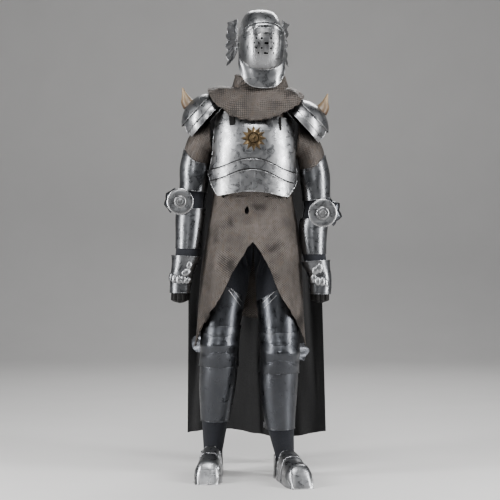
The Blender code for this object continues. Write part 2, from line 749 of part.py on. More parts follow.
def build_shoulder(side):
    centre, along, across = dome_frame(side)

    def cap(u, v):
        turn = mix(-180, 180, u)
        low = mix(44, 62, 0.5 + 0.5 * math.cos(math.radians(turn)))
        return on_dome(side, mix(3, low, v), turn, CAP_OUT)

    panel("pauldron_cap_" + side, "polished_steel", 16, 4, PLATE, cap, closed=True, inside=centre)
    for name, first, last, out in SHOULDER_LAMES:

        def lame(u, v, first=first, last=last, out=out):
            turn = mix(-LAME_SPREAD, LAME_SPREAD, u)
            rise = LAME_RISE * (0.5 - 0.5 * math.cos(math.radians(turn)))
            return on_dome(side, mix(first - rise, last - rise, v), turn, out)

        panel("pauldron_lame_" + name + "_" + side, "polished_steel", 10, 2, PLATE, lame, inside=centre)

    base = on_dome(side, 0, 0, CAP_OUT + PLATE + SEAM + 0.0004)
    bm = bmesh.new()
    bmesh.ops.create_cone(
        bm, cap_ends=True, segments=12, radius1=HORN_RADIUS, radius2=HORN_TIP, depth=HORN_LENGTH
    )
    lengthwise = [e for e in bm.edges if abs(e.verts[0].co.z - e.verts[1].co.z) > 0.5 * HORN_LENGTH]
    bmesh.ops.subdivide_edges(bm, edges=lengthwise, cuts=HORN_ROWS - 1)
    lean = Vector((-SIGNS[side] * 0.10, 0, 1)).normalized() * 0.65 + along * 0.35
    direction = lean.normalized()
    turn = direction.to_track_quat("Z", "Y").to_matrix()
    for vert in bm.verts:
        share = vert.co.z / HORN_LENGTH + 0.5
        bend = Vector((-SIGNS[side] * HORN_BEND * share * share, 0, 0))
        vert.co = base + turn @ Vector((vert.co.x, vert.co.y, vert.co.z + HORN_LENGTH / 2)) + bend
        if share < 0.01:
            radial = vert.co - base
            flat = radial - along * radial.dot(along)
            drop = DOME_ALONG * (1 - math.sqrt(max(0.0, 1 - (flat.length / HORN_SEAT) ** 2)))
            vert.co = base + flat - along * (drop * 0.4 - 0.0004)
    finish("horn_" + side, bm, "horn", COLLECTION)


def build_arm(side):
    form = ARMS[side]

    def tube(name, slot, start, end, out, wall, across, down, top=None, bottom=None):
        place = on_form(form, start, end, 0, 360, out, top, bottom)
        panel(name + "_" + side, slot, across, down, wall, place, closed=True)

    tube("arming_sleeve", "navy_cloth", 1.30, 7.45, SLEEVE_OUT, CLOTH_WALL, 12, 9)
    tube(
        "mail_sleeve", "mail", 0.06, 2.35, MAIL_OUT, MAIL_WALL, 12, 5,
        bottom=lambda angle: -0.25 * math.cos(math.radians(angle)),
    )

    def rere_out(angle, v):
        return LIMB_PLATE_OUT + 0.003 * math.sin(math.pi * v) ** 2

    tube(
        "rerebrace", "dark_steel", 2.30, 4.35, rere_out, PLATE, 12, 4,
        top=lambda angle: -0.60 * max(0.0, math.cos(math.radians(angle))),
    )

    def vambrace_out(angle, v):
        return SKIN_PLATE_OUT + (LIMB_PLATE_OUT - SKIN_PLATE_OUT) * (1 - v) ** 3

    tube("vambrace", "dark_steel", 5.45, 6.82, vambrace_out, PLATE, 12, 4)

    def cup_out(angle, v):
        back = max(0.0, math.cos(math.radians(angle + 55)))
        return LIMB_PLATE_OUT + PLATE + 0.0012 + COUTER_CUP * math.sin(math.pi * v) * back**1.5

    panel(
        "couter_" + side, "dark_steel", 12, 4, PLATE,
        on_form(form, 4.25, 5.60, -150, 60, cup_out),
    )

    x, height, radius = DISCS[side]
    profile = (
        (0.0, 0.0125),
        (radius * 0.20, 0.0115),
        (radius * 0.24, 0.0070),
        (radius * 0.40, 0.0065),
        (radius * 0.46, 0.0025),
        (radius * 0.86, 0.0035),
        (radius, 0.0010),
        (radius, 0.0),
        (0.0, 0.0),
    )
    centre = Vector((x, DISC_FRONT, height - HOLD_HEIGHT))
    turned("couter_disc_" + side, "polished_steel", profile, centre, Vector((0, -1, 0)), 16)


def build_hand(side):
    form = ARMS[side]

    def glove(u, v):
        t = mix(7.50, 9.0, min(1.0, v / 0.8))
        if v > 0.99:
            return form.section(9.0)[0] - Vector((0, 0, 0.012))
        pinch = 1.0 if v <= 0.8 else math.sqrt(max(0.0, 1 - ((v - 0.8) / 0.2) ** 2))
        middle = form.section(t)[0]
        place = form.point(t, mix(0, 360, u)) - middle
        drop = 0.012 * (1 - pinch)
        return middle + place * pinch - Vector((0, 0, drop))

    panel("glove_" + side, "leather", 12, 5, CLOTH_WALL, glove, closed=True)

    def cuff(angle, v):
        return HAND_PLATE_OUT + 0.014 * (1 - v) ** 2

    panel("gauntlet_" + side, "dark_steel", 12, 3, PLATE, on_form(form, 7.10, 8.20, -15, 165, cuff))
    knuckles = on_form(form, 8.24, 8.72, -10, 170, HAND_PLATE_OUT)
    panel("knuckle_plate_" + side, "dark_steel", 8, 2, PLATE, knuckles)


# Plates of the legs


def build_leg(side):
    form = LEGS[side]
    wrap = LEG_PLATE_OUT

    def cuisse_out(angle, v):
        return wrap + 0.0026 * v * v

    def cuisse_top(angle):
        return CUISSE_SLANT * max(0.0, -math.cos(math.radians(angle)))

    cuisse = on_form(form, 0.75, 2.12, -55, 205, cuisse_out, cuisse_top)
    panel("cuisse_" + side, "dark_steel", 12, 4, PLATE, cuisse)

    def knee_out(angle, v):
        front = max(0.0, math.cos(math.radians(angle - 85)))
        return wrap + KNEE_LIFT + 0.022 * math.sin(math.pi * v) * front**2

    panel("poleyn_" + side, "dark_steel", 12, 4, PLATE, on_form(form, 2.02, 3.82, -30, 205, knee_out))

    def fan(u, v):
        t = mix(2.55, 3.35, u)
        reach = 0.030 + 0.022 * math.sin(math.pi * u)
        place = form.point(t, -30.8, wrap + KNEE_LIFT)
        flare = Vector((SIGNS[side] * reach * v, 0.030 * v * math.sin(math.pi * u) + 0.008 * v, 0))
        return place + Vector((0, 0.0006, 0)) + flare

    panel("poleyn_wing_" + side, "dark_steel", 10, 3, PLATE, fan)

    def greave_out(angle, v):
        return wrap + 0.0026 * (1 - v) ** 2 + 0.003 * v**4

    greave = on_form(form, 3.75, 6.02, 0, 360, greave_out)
    panel("greave_" + side, "dark_steel", 12, 5, PLATE, greave, closed=True)


def on_foot(side, along, share, out=0.0):
    """A point on the foot's arch: share runs from one sole edge over the top to the other."""
    x, y, turn = FEET[side]
    sign = SIGNS[side]
    half_width = read(FOOT, FOOT_COLUMNS, along, "half_width") + out
    top = read(FOOT, FOOT_COLUMNS, along, "top") + out
    angle = math.radians(mix(180, 0, share))
    c = rounded(math.cos(angle), 3.2)
    s = rounded(math.sin(angle), 2.6)
    local = Vector((half_width * c, -along, SOLE_LIFT + top * s - HOLD_HEIGHT))
    turned_by = Matrix.Rotation(math.radians(sign * turn), 3, "Z")
    return Vector((x, y, 0)) + turned_by @ local


def build_foot(side):
    length = FOOT[-1][0]

    def instep(u, v):
        return on_foot(side, mix(FOOT_START, FOOT_BREAK, v), u, FOOT_STEP)

    panel("sabaton_instep_" + side, "polished_steel", 10, 2, PLATE, instep)

    x, y, turn = FEET[side]
    turned_by = Matrix.Rotation(math.radians(SIGNS[side] * turn), 3, "Z")

    def heel(u, v):
        angle = math.radians(mix(-14, 194, u))
        radius = HEEL_RADIUS - HEEL_TAPER * v
        local = Vector((radius * math.cos(angle), radius * math.sin(angle) - HEEL_AT, 0))
        return Vector((x, y, mix(SOLE_LIFT, HEEL_HEIGHT, v) - HOLD_HEIGHT)) + turned_by @ local

    panel("sabaton_heel_" + side, "polished_steel", 10, 2, PLATE, heel)

    def toe(u, v):
        """Over the toes, then down the front to the sole."""
        along = mix(FOOT_BREAK - TOE_LAP, length, min(1.0, v / TOE_TOP_SHARE))
        place = on_foot(side, along, u)
        if v > TOE_TOP_SHARE:
            heel_place = Vector((x, y, 0))
            forward = turned_by @ Vector((0, -TOE_NOSE, 0))
            place = heel_place + (place - heel_place) * TOE_DRAW_IN + forward
            place.z = SOLE_LIFT - HOLD_HEIGHT
            place += turned_by @ Vector((0, -length * (1 - TOE_DRAW_IN), 0))
        return place

    panel("sabaton_toe_" + side, "polished_steel", 10, 5, PLATE, toe)


def build_cape():
    def cape(u, v):
        v = v**CAPE_ROWS_CROWD
        z = mix(CAPE[0][0], CAPE[-1][0], v)

        def at(column):
            return read(tuple(reversed(CAPE)), CAPE_COLUMNS, z, column)

        s = mix(-1, 1, u)
        wave = math.cos(math.pi * CAPE_FOLDS * u) * CAPE_FOLD_DEPTH * v**0.7
        y = at("y") - at("curl") * s * s + wave
        hem = CAPE_HEM_WAVE * math.sin(2.2 * math.pi * u) * v
        return Vector((at("x") + s * at("half_width"), y, z - HOLD_HEIGHT + hem))

    panel("cape", "black_cloth", 26, 6, CAPE_WALL, cape, inside=Vector((0, -3, 0)))


def build():
    build_helmet()
    build_mail_body()
    build_breeches()
    build_cuirass()
    build_badge()
    for side in SIGNS:
        build_shoulder(side)
        build_arm(side)
        build_hand(side)
        build_leg(side)
        build_foot(side)
    build_cape()


for old in list(bpy.data.objects):
    bpy.data.objects.remove(old, do_unlink=True)
COLLECTION = bpy.data.collections.new("suit_of_plate_armour")
bpy.context.scene.collection.children.link(COLLECTION)
build()
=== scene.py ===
"""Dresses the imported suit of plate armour: plates, mail, cloth, fittings, finishes, light and camera.

Lengths are in metres in the frame's own axes: the armour faces -Y, and +X is its own left side.
"""

import math

import bmesh
import bpy
from bpy.props import FloatProperty, FloatVectorProperty, PointerProperty
from mathutils import Matrix, Vector, kdtree, noise
from mathutils.bvhtree import BVHTree


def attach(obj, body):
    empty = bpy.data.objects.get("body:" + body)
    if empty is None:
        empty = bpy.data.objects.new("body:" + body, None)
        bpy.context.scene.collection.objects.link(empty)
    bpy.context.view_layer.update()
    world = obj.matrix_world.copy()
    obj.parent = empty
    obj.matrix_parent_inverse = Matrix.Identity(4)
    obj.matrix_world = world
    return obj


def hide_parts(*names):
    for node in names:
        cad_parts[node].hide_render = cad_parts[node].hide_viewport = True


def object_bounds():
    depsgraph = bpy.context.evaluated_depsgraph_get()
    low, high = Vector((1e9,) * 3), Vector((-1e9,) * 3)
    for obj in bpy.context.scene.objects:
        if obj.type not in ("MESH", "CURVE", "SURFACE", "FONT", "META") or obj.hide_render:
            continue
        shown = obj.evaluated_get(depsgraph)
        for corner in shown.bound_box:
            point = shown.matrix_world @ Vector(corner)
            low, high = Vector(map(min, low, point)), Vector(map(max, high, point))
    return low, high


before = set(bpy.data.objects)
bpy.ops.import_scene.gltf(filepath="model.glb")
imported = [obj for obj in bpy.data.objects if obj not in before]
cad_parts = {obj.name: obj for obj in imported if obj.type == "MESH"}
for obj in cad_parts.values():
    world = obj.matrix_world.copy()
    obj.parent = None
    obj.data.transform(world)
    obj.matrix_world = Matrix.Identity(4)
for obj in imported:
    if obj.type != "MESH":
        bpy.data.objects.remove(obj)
CAD_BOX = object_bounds()

bl_info = {
    "name": "Plate armour dressing",
    "version": (1, 0, 0),
    "blender": (4, 5, 0),
    "location": "3D View > Sidebar > Armour",
    "description": "Refines the plates, mail and cloth of a suit of armour and adds its fittings",
    "category": "Object",
}

SIDES = {"right": -1, "left": 1}
FLOOR = CAD_BOX[0][2] - 0.0002

# The photograph's camera: where it stands, and pixels per unit of slope in a 500 x 500 frame
CAMERA_PLACE = Vector((-0.016, -5.5, -0.47))
CAMERA_DROP = math.radians(0.905)
FRAME_PIXELS = 500
DENT_SEED = 7  # the same dents at every run
NEAR_MISS = 0.025  # a pixel this far beside a form still counts as on its edge
FOCAL_PIXELS = 1392

# The paper that the armour stands on: it runs flat to behind the armour and then curves up
STAGE_WIDTH = 16.0
STAGE_FRONT = 9.0
STAGE_FLAT = 13.7
STAGE_BEND = 2.0
STAGE_RUN = 23.0
STAGE_ROWS = 80
SENSOR = 36
VIEW_END = 60
SKY = (0.55, 0.57, 0.60, 1)
SKY_STRENGTH = 0.22
LIGHT_AIM = Vector((0, 0, -0.45))
# Lights: name, place, width, height, share of the side lights' power
LIGHTS = (
    ("side_light_right", (-2.3, -1.1, 0.0), 0.45, 2.8, 1.0),
    ("side_light_left", (2.3, -1.1, 0.0), 0.45, 2.8, 1.0),
    ("top_light", (0.1, -1.6, 2.6), 1.3, 0.9, 0.8),
    ("front_light", (-0.9, -5.2, 1.9), 0.9, 1.3, 0.55),
    ("back_light", (0.6, 3.4, 2.6), 3.0, 1.0, 1.3),
)

BRIGHT = (
    "skull", "brow_band", "bevor", "visor", "wing_right", "wing_left", "pivot_right", "pivot_left",
    "breastplate", "backplate", "waist_lame_upper", "waist_lame_lower",
    "pauldron_cap_right", "pauldron_cap_left", "pauldron_lame_upper_right", "pauldron_lame_upper_left",
    "pauldron_lame_lower_right", "pauldron_lame_lower_left", "couter_disc_right", "couter_disc_left",
    "sabaton_heel_right", "sabaton_heel_left", "sabaton_instep_right", "sabaton_instep_left",
    "sabaton_toe_right", "sabaton_toe_left",
)
DARK = tuple(
    f"{name}_{side}"
    for name in (
        "rerebrace", "vambrace", "couter", "gauntlet", "knuckle_plate",
        "cuisse", "poleyn", "poleyn_wing", "greave",
    )
    for side in SIDES
)
ARM_PLATES = ("rerebrace", "vambrace", "couter", "gauntlet", "knuckle_plate")
# Plates whose inner walls get no painted shade and stay as bright as their outer ones
SHOWN_BOTH = ("wing", "poleyn_wing", "pivot", "couter_disc", "sabaton", "gauntlet", "knuckle")

# Meshes, in metres and degrees
MERGE = 0.00001
QUAD_FACE_TURN = 50
QUAD_SHAPE_TURN = 70
SHARP_TURN = 50.0  # an edge that turns more stays sharp when its form is refined
RIM_TURN = 55.0  # an edge that turns more belongs to a rim
REFINE_ROUNDS = 3
DENT_SCALE = 9.0
FINE_DENT_SCALE = 2.7
FINE_DENT_SHARE = 0.4
RIM_LEAST = 0.10  # shorter rims get no wire
RIM_WALL = 0.0018
BREAST_RIM_WALL = 0.0024
WIRE_SMOOTH = 60
PLATE_SMOOTH = 40
PATCH_SMOOTH = 40
HORN_SMOOTH = 50
RING_SMOOTH = 80
WEAR_REACH = 0.012
KNEE_WING_WEAR = 0.004
KNEE_WING_FLUTES = (9, 0.0030)  # ribs and their depth
HELMET_WING_FLUTES = (22, 0.0028)
PIXEL_STEP = 1.5
INSIDE_TURN = -0.2  # a face that looks at its heart by more than this lies inside


class ARMOUR_PG_steel(bpy.types.PropertyGroup):
    bright: FloatVectorProperty(
        name="Bright steel", description="Colour of the helmet, body and shoulder plates",
        subtype="COLOR", size=3, default=(0.36, 0.365, 0.375), min=0, max=1,
    )
    dark: FloatVectorProperty(
        name="Dark steel", description="Colour of the leg plates",
        subtype="COLOR", size=3, default=(0.080, 0.084, 0.093), min=0, max=1,
    )
    arm: FloatVectorProperty(
        name="Arm steel", description="Colour of the arm plates",
        subtype="COLOR", size=3, default=(0.20, 0.205, 0.215), min=0, max=1,
    )
    rim: FloatProperty(
        name="Rim radius", description="Radius of the rolled rims", unit="LENGTH", default=0.0016, min=0.0005,
    )
    rivet: FloatProperty(
        name="Rivet radius", description="Radius of a rivet's head", unit="LENGTH", default=0.0035, min=0.001,
    )
    dent: FloatProperty(
        name="Dents", description="How far hammering moved the plates", unit="LENGTH", default=0.0011, min=0,
    )


class ARMOUR_PG_mail(bpy.types.PropertyGroup):
    ring: FloatProperty(
        name="Ring pitch", description="From one ring's centre to the next",
        unit="LENGTH", default=0.0100, min=0.004,
    )
    colour: FloatVectorProperty(
        name="Mail colour", description="Colour of the mail's rings",
        subtype="COLOR", size=3, default=(0.115, 0.10, 0.090), min=0, max=1,
    )
    wire: FloatProperty(
        name="Wire radius", description="Radius of the wire at the hems",
        unit="LENGTH", default=0.0009, min=0.0003,
    )


class ARMOUR_PG_cloth(bpy.types.PropertyGroup):
    cape: FloatVectorProperty(
        name="Cape colour", description="Colour of the cape", subtype="COLOR", size=3,
        default=(0.0026, 0.0026, 0.003), min=0, max=1,
    )
    breeches: FloatVectorProperty(
        name="Under cloth colour", description="Colour of the breeches and arming sleeves",
        subtype="COLOR", size=3, default=(0.003, 0.0042, 0.009), min=0, max=1,
    )
    fold: FloatProperty(
        name="Cape folds", description="Depth of the cape's added folds", unit="LENGTH", default=0.022, min=0,
    )


class ARMOUR_PG_studio(bpy.types.PropertyGroup):
    floor: FloatVectorProperty(
        name="Floor colour", description="Colour of the floor and backdrop",
        subtype="COLOR", size=3, default=(0.62, 0.61, 0.60), min=0, max=1,
    )
    key: FloatProperty(
        name="Side lights", description="Power of the two tall side lights", unit="POWER", default=110, min=0,
    )


def settings():
    scene = bpy.context.scene
    return scene.armour_steel, scene.armour_mail, scene.armour_cloth, scene.armour_studio


# Making and shaping meshes


def only(obj):
    bpy.ops.object.select_all(action="DESELECT")
    obj.select_set(True)
    bpy.context.view_layer.objects.active = obj


def apply_all(obj):
    only(obj)
    for modifier in list(obj.modifiers):
        bpy.ops.object.modifier_apply(modifier=modifier.name)


def new_piece(name, bm, smooth=35):
    mesh = bpy.data.meshes.new(name)
    bm.to_mesh(mesh)
    bm.free()
    obj = bpy.data.objects.new(name, mesh)
    bpy.context.collection.objects.link(obj)
    only(obj)
    bpy.ops.object.shade_smooth_by_angle(angle=math.radians(smooth))
    return obj


def copy_of(node):
    """A merged copy of a CAD node's mesh, in quads, at the origin."""
    obj = bpy.data.objects.new(node + "_form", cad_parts[node].data.copy())
    bpy.context.collection.objects.link(obj)
    obj.data.materials.clear()
    only(obj)
    bpy.ops.mesh.customdata_custom_splitnormals_clear()
    bpy.ops.object.mode_set(mode="EDIT")
    bpy.ops.mesh.select_all(action="SELECT")
    bpy.ops.mesh.remove_doubles(threshold=MERGE)
    bpy.ops.mesh.tris_convert_to_quads(
        face_threshold=math.radians(QUAD_FACE_TURN), shape_threshold=math.radians(QUAD_SHAPE_TURN),
    )
    bpy.ops.object.mode_set(mode="OBJECT")
    return obj


def crease_rims(obj, angle):
    """Keeps the edges that turn more than this sharp."""
    bm = bmesh.new()
    bm.from_mesh(obj.data)
    layer = bm.edges.layers.float.get("crease_edge") or bm.edges.layers.float.new("crease_edge")
    for edge in bm.edges:
        if len(edge.link_faces) == 2 and edge.calc_face_angle(0.0) > math.radians(angle):
            edge[layer] = 1.0
    bm.to_mesh(obj.data)
    bm.free()


def vertex_places(mesh, count):
    return [mesh.vertices[i].co.copy() for i in range(count)]


def refine(obj, levels=2, angle=SHARP_TURN):
    """Subdivides the form so that its smooth surface passes through the corners it had."""
    crease_rims(obj, angle)
    count = len(obj.data.vertices)
    wanted = vertex_places(obj.data, count)
    made = obj.modifiers.new("fine", "SUBSURF")
    made.levels = made.render_levels = 1
    for _ in range(REFINE_ROUNDS):
        shown = obj.evaluated_get(bpy.context.evaluated_depsgraph_get()).data
        smooth = vertex_places(shown, count)
        for vert, want, got in zip(obj.data.vertices, wanted, smooth):
            vert.co += want - got
        obj.data.update()
    made.levels = made.render_levels = levels
    apply_all(obj)
    return obj


def shift(obj, offset):
    """Moves each corner by what offset says for its place."""
    for vert in obj.data.vertices:
        vert.co += offset(vert.co)
    obj.data.update()


def dent(obj, depth):
    """Broad dents, with finer ones among them."""
    def offset(place):
        broad = noise.noise_vector(place * DENT_SCALE) * depth
        return broad + noise.noise_vector(place * DENT_SCALE * FINE_DENT_SCALE) * depth * FINE_DENT_SHARE

    shift(obj, offset)


def rim_edges(obj):
    """A mesh of the edges along the form's rims, without faces."""
    bm = bmesh.new()
    bm.from_mesh(obj.data)
    drop = [e for e in bm.edges if len(e.link_faces) != 2 or e.calc_face_angle(0.0) < math.radians(RIM_TURN)]
    bmesh.ops.delete(bm, geom=list(bm.faces), context="FACES_ONLY")
    bmesh.ops.delete(bm, geom=drop, context="EDGES")
    return bm


def chains(bm, least):
    """Connected runs of edges longer than least."""
    seen = set()
    found = []
    for first in bm.verts:
        if first in seen:
            continue
        seen.add(first)
        stack = [first]
        verts = []
        while stack:
            vert = stack.pop()
            verts.append(vert)
            for edge in vert.link_edges:
                other = edge.other_vert(vert)
                if other not in seen:
                    seen.add(other)
                    stack.append(other)
        edges = {edge for vert in verts for edge in vert.link_edges}
        if sum(edge.calc_length() for edge in edges) > least:
            found.append((verts, edges))
    return found


def rolled_rim(obj, name, radius, wall):
    """A round wire along a plate's rims, whose two edges lie a wall apart."""
    bm = rim_edges(obj)
    bmesh.ops.remove_doubles(bm, verts=bm.verts, dist=wall)
    kept = {vert for verts, _ in chains(bm, RIM_LEAST) for vert in verts}
    bmesh.ops.delete(bm, geom=[v for v in bm.verts if v not in kept], context="VERTS")
    return wire_of(bm, name, radius)


def wire_of(bm, name, radius):
    """Round wire along the edges of bm."""
    new_piece(name, bm)
    bpy.ops.object.convert(target="CURVE")
    wire = bpy.context.view_layer.objects.active
    wire.data.bevel_depth = radius
    wire.data.bevel_resolution = 1
    wire.data.use_fill_caps = True
    bpy.ops.object.convert(target="MESH")
    wire = bpy.context.view_layer.objects.active
    wire.name = name
    bpy.ops.object.shade_smooth_by_angle(angle=math.radians(WIRE_SMOOTH))
    return wire


def mark_wear(obj, reach=WEAR_REACH):
    """Writes how near each corner is to a rim, 1 at the rim, for the finishes."""
    bm = rim_edges(obj)
    places = [v.co.copy() for v in bm.verts]
    bm.free()
    tree = kdtree.KDTree(max(1, len(places)))
    for i, place in enumerate(places):
        tree.insert(place, i)
    tree.balance()
    values = obj.data.attributes.new("wear", "FLOAT", "POINT")
    for vert in obj.data.vertices:
        distance = tree.find(vert.co)[2] if places else reach
        values.data[vert.index].value = max(0.0, 1 - distance / reach)


UP = (0, 0, 1)
# Points and lines that the plates close round: how their names start and end, place, direction or none
HEARTS = (
    (("skull", "brow_band", "visor", "bevor"), "", (0.024, -0.005, 0.245), None),
    (("breastplate", "backplate", "waist"), "", (0, 0, -0.2), UP),
    (("pauldron",), "right", (-0.176, 0, -0.052), None),
    (("pauldron",), "left", (0.184, 0, -0.076), None),
    (("cuisse", "poleyn", "greave"), "right", (-0.135, -0.01, -0.9), UP),
    (("cuisse", "poleyn", "greave"), "left", (0.10, -0.05, -0.9), UP),
    (("",), "right", (-0.25, -0.03, -0.4), UP),
    (("",), "left", (0.25, -0.03, -0.4), UP),
)


def mark_inside(obj, node):
    """Writes 1 on the faces of a form's inner wall, where the finishes paint shade and raise the roughness.
    """
    heart = next(row[2:] for row in HEARTS if node.startswith(row[0]) and node.endswith(row[1]))
    values = obj.data.attributes.new("inside", "FLOAT", "FACE")
    middle, axis = Vector(heart[0]), heart[1] and Vector(heart[1])
    for face in obj.data.polygons:
        away = face.center - middle
        if axis:
            away -= axis * away.dot(axis)
        values.data[face.index].value = float(face.normal.dot(away) < INSIDE_TURN * away.length)


def settle(obj, material, body="suit", replaces=()):
    """Gives a finished piece its material and says what it rides on and stands for."""
    obj.data.materials.clear()
    obj.data.materials.append(material)
    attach(obj, body)
    if replaces:
        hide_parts(*replaces)
    return obj


def form(*nodes):
    """The dressed forms of these nodes, made by an earlier operator."""
    return [bpy.data.objects[node + "_form"] for node in nodes]


def tree_of(*objs):
    corners = []
    faces = []
    for obj in objs:
        start = len(corners)
        corners += [v.co for v in obj.data.vertices]
        faces += [[start + i for i in p.vertices] for p in obj.data.polygons]
    return BVHTree.FromPolygons(corners, faces)


def through_pixel(tree, px, py):
    """Place and normal where the line from the camera through a pixel of the photograph meets the surface."""
    half = FRAME_PIXELS / 2
    ray = Vector(((px - half) / FOCAL_PIXELS, 1, (half - py) / FOCAL_PIXELS))
    ray.rotate(Matrix.Rotation(-CAMERA_DROP, 3, "X"))
    ray.normalize()
    place, normal, _, _ = tree.ray_cast(CAMERA_PLACE, ray)
    if place is None:
        depths = (CAMERA_PLACE + ray * (-CAMERA_PLACE.y + k * 0.02) for k in range(-15, 16))
        place, normal, _, distance = min((tree.find_nearest(spot) for spot in depths), key=lambda hit: hit[3])
        if distance > NEAR_MISS:
            raise RuntimeError(f"nothing lies behind pixel {px}, {py}: {distance:.3f} m away")
    return place, normal


def pixel_line(tree, pixels):
    """Places and normals along a line drawn through pixels of the photograph."""
    found = []
    for (ax, ay), (bx, by) in zip(pixels, pixels[1:]):
        count = max(1, round(math.hypot(bx - ax, by - ay) / PIXEL_STEP))
        for k in range(count):
            found.append(through_pixel(tree, ax + (bx - ax) * k / count, ay + (by - ay) * k / count))
    found.append(through_pixel(tree, *pixels[-1]))
    return found


def laid_wire(name, line, radius):
    bm = bmesh.new()
    verts = [bm.verts.new(place) for place, _ in line]
    for a, b in zip(verts, verts[1:]):
        bm.edges.new((a, b))
    return wire_of(bm, name, radius)


# Straps and other pieces laid on the forms, in metres
STRAP_STEPS = 20
STRAP_ROWS = 3
STRAP_THICK = 0.0022
STRAP_LIFT = 0.0008
LIMB_REACH = 0.3  # from a limb's middle to well outside it
PATCH_ROWS = 6
PATCH_COLUMNS = 4
PATCH_LIFT = 0.0006
PATCH_BEVEL = 0.3  # share of the patch's thickness


def belt(name, tree, middle, start, end, height, width):
    """A strap laid round the outside of the forms, from one angle to another at one height."""
    bm = bmesh.new()
    grid = []
    for k in range(STRAP_STEPS + 1):
        angle = math.radians(start + (end - start) * k / STRAP_STEPS)
        out = Vector((math.cos(angle), -math.sin(angle), 0))
        rail = []
        for row in range(STRAP_ROWS):
            z = height + width * (row / (STRAP_ROWS - 1) - 0.5)
            far = Vector((middle[0], middle[1], z)) + out * LIMB_REACH
            place = tree.ray_cast(far, -out)[0]
            rail.append((place or grid[-1][row].co) + out * STRAP_LIFT if place or grid else None)
        if None in rail:
            continue
        grid.append([bm.verts.new(place) for place in rail])
    for a, b in zip(grid, grid[1:]):
        for row in range(STRAP_ROWS - 1):
            bm.faces.new((a[row], b[row], b[row + 1], a[row + 1]))
    obj = new_piece(name, bm)
    solid = obj.modifiers.new("thick", "SOLIDIFY")
    solid.thickness = STRAP_THICK
    first = obj.data.polygons[0]
    solid.offset = 1 if first.normal.dot(first.center - Vector(middle)) > 0 else -1
    apply_all(obj)
    bpy.ops.object.mode_set(mode="EDIT")
    bpy.ops.mesh.select_all(action="SELECT")
    bpy.ops.mesh.normals_make_consistent(inside=False)
    bpy.ops.object.mode_set(mode="OBJECT")
    return obj


def laid_patch(name, tree, quad, thick):
    """A thin piece on the forms between four pixels: upper left, upper right, lower right, lower left."""
    bm = bmesh.new()
    grid = []
    upper_left, upper_right, lower_right, lower_left = (Vector(corner) for corner in quad)
    for row in range(PATCH_ROWS + 1):
        left = upper_left.lerp(lower_left, row / PATCH_ROWS)
        right = upper_right.lerp(lower_right, row / PATCH_ROWS)
        line = []
        for column in range(PATCH_COLUMNS + 1):
            place, normal = through_pixel(tree, *left.lerp(right, column / PATCH_COLUMNS))
            line.append(bm.verts.new(place + normal * PATCH_LIFT))
        grid.append(line)
    for a, b in zip(grid, grid[1:]):
        for column in range(PATCH_COLUMNS):
            bm.faces.new((a[column], b[column], b[column + 1], a[column + 1]))
    obj = new_piece(name, bm)
    solid = obj.modifiers.new("thick", "SOLIDIFY")
    solid.thickness = thick
    solid.offset = 1
    bevel = obj.modifiers.new("edge", "BEVEL")
    bevel.width = thick * PATCH_BEVEL
    apply_all(obj)
    bpy.ops.object.shade_smooth_by_angle(angle=math.radians(PATCH_SMOOTH))
    return obj


# Mail rings at a hem: shares of the ring pitch, metres, turns in radians
RING_RADIUS = 0.46
RING_SPACING = 0.62
RING_INSET = 0.001
RING_LEAN = 0.5
RING_TIP = 0.35
RING_SIDES = 10
RING_WIRE_SIDES = 5
HEM_LEAST = 0.2
HEM_WALL = 0.004
# Frayed hems, in metres
FRAY_REACH = 0.035
FRAY_SCALE = 38.0
FINE_FRAY_SCALE = 2.3
FINE_FRAY_SHARE = 0.5
RIVET_RISE = 0.6  # share of its radius
RIVET_SEGMENTS = 8
RIVET_RINGS = 6


def ring_row(name, obj, pitch, wire):
    """Single mail rings hung along the form's rims, leaning by turns."""
    bm = bmesh.new()
    radius = pitch * RING_RADIUS
    spots = along_rims(obj, pitch * RING_SPACING, RING_INSET, HEM_LEAST, HEM_WALL)
    for k, (place, normal) in enumerate(spots):
        lean = Matrix.Rotation(RING_LEAN if k % 2 else -RING_LEAN, 4, "Z")
        turn = normal.to_track_quat("Z", "Y").to_matrix().to_4x4()
        frame_of = Matrix.Translation(place) @ turn @ lean @ Matrix.Rotation(RING_TIP, 4, "X")
        rings = []
        for i in range(RING_SIDES):
            a = 2 * math.pi * i / RING_SIDES
            rings.append([
                bm.verts.new(frame_of @ Vector((
                    (radius + wire * math.cos(b)) * math.cos(a),
                    (radius + wire * math.cos(b)) * math.sin(a),
                    wire * math.sin(b),
                )))
                for b in (2 * math.pi * j / RING_WIRE_SIDES for j in range(RING_WIRE_SIDES))
            ])
        for i in range(RING_SIDES):
            here, ahead = rings[i], rings[(i + 1) % RING_SIDES]
            for j in range(RING_WIRE_SIDES):
                beside = (j + 1) % RING_WIRE_SIDES
                bm.faces.new((here[j], ahead[j], ahead[beside], here[beside]))
    return new_piece(name, bm, RING_SMOOTH)


def ragged(obj, depth):
    """Frays the hems: both walls near a rim move up and down together."""
    bm = rim_edges(obj)
    tree = kdtree.KDTree(len(bm.verts))
    for i, vert in enumerate(bm.verts):
        tree.insert(vert.co, i)
    tree.balance()
    bm.free()
    for vert in obj.data.vertices:
        distance = tree.find(vert.co)[2]
        if distance > FRAY_REACH:
            continue
        flat = Vector((vert.co.x, vert.co.y, 0)) * FRAY_SCALE
        tear = noise.noise(flat) + FINE_FRAY_SHARE * noise.noise(flat * FINE_FRAY_SCALE)
        vert.co.z += depth * (1 - distance / FRAY_REACH) * tear
    obj.data.update()


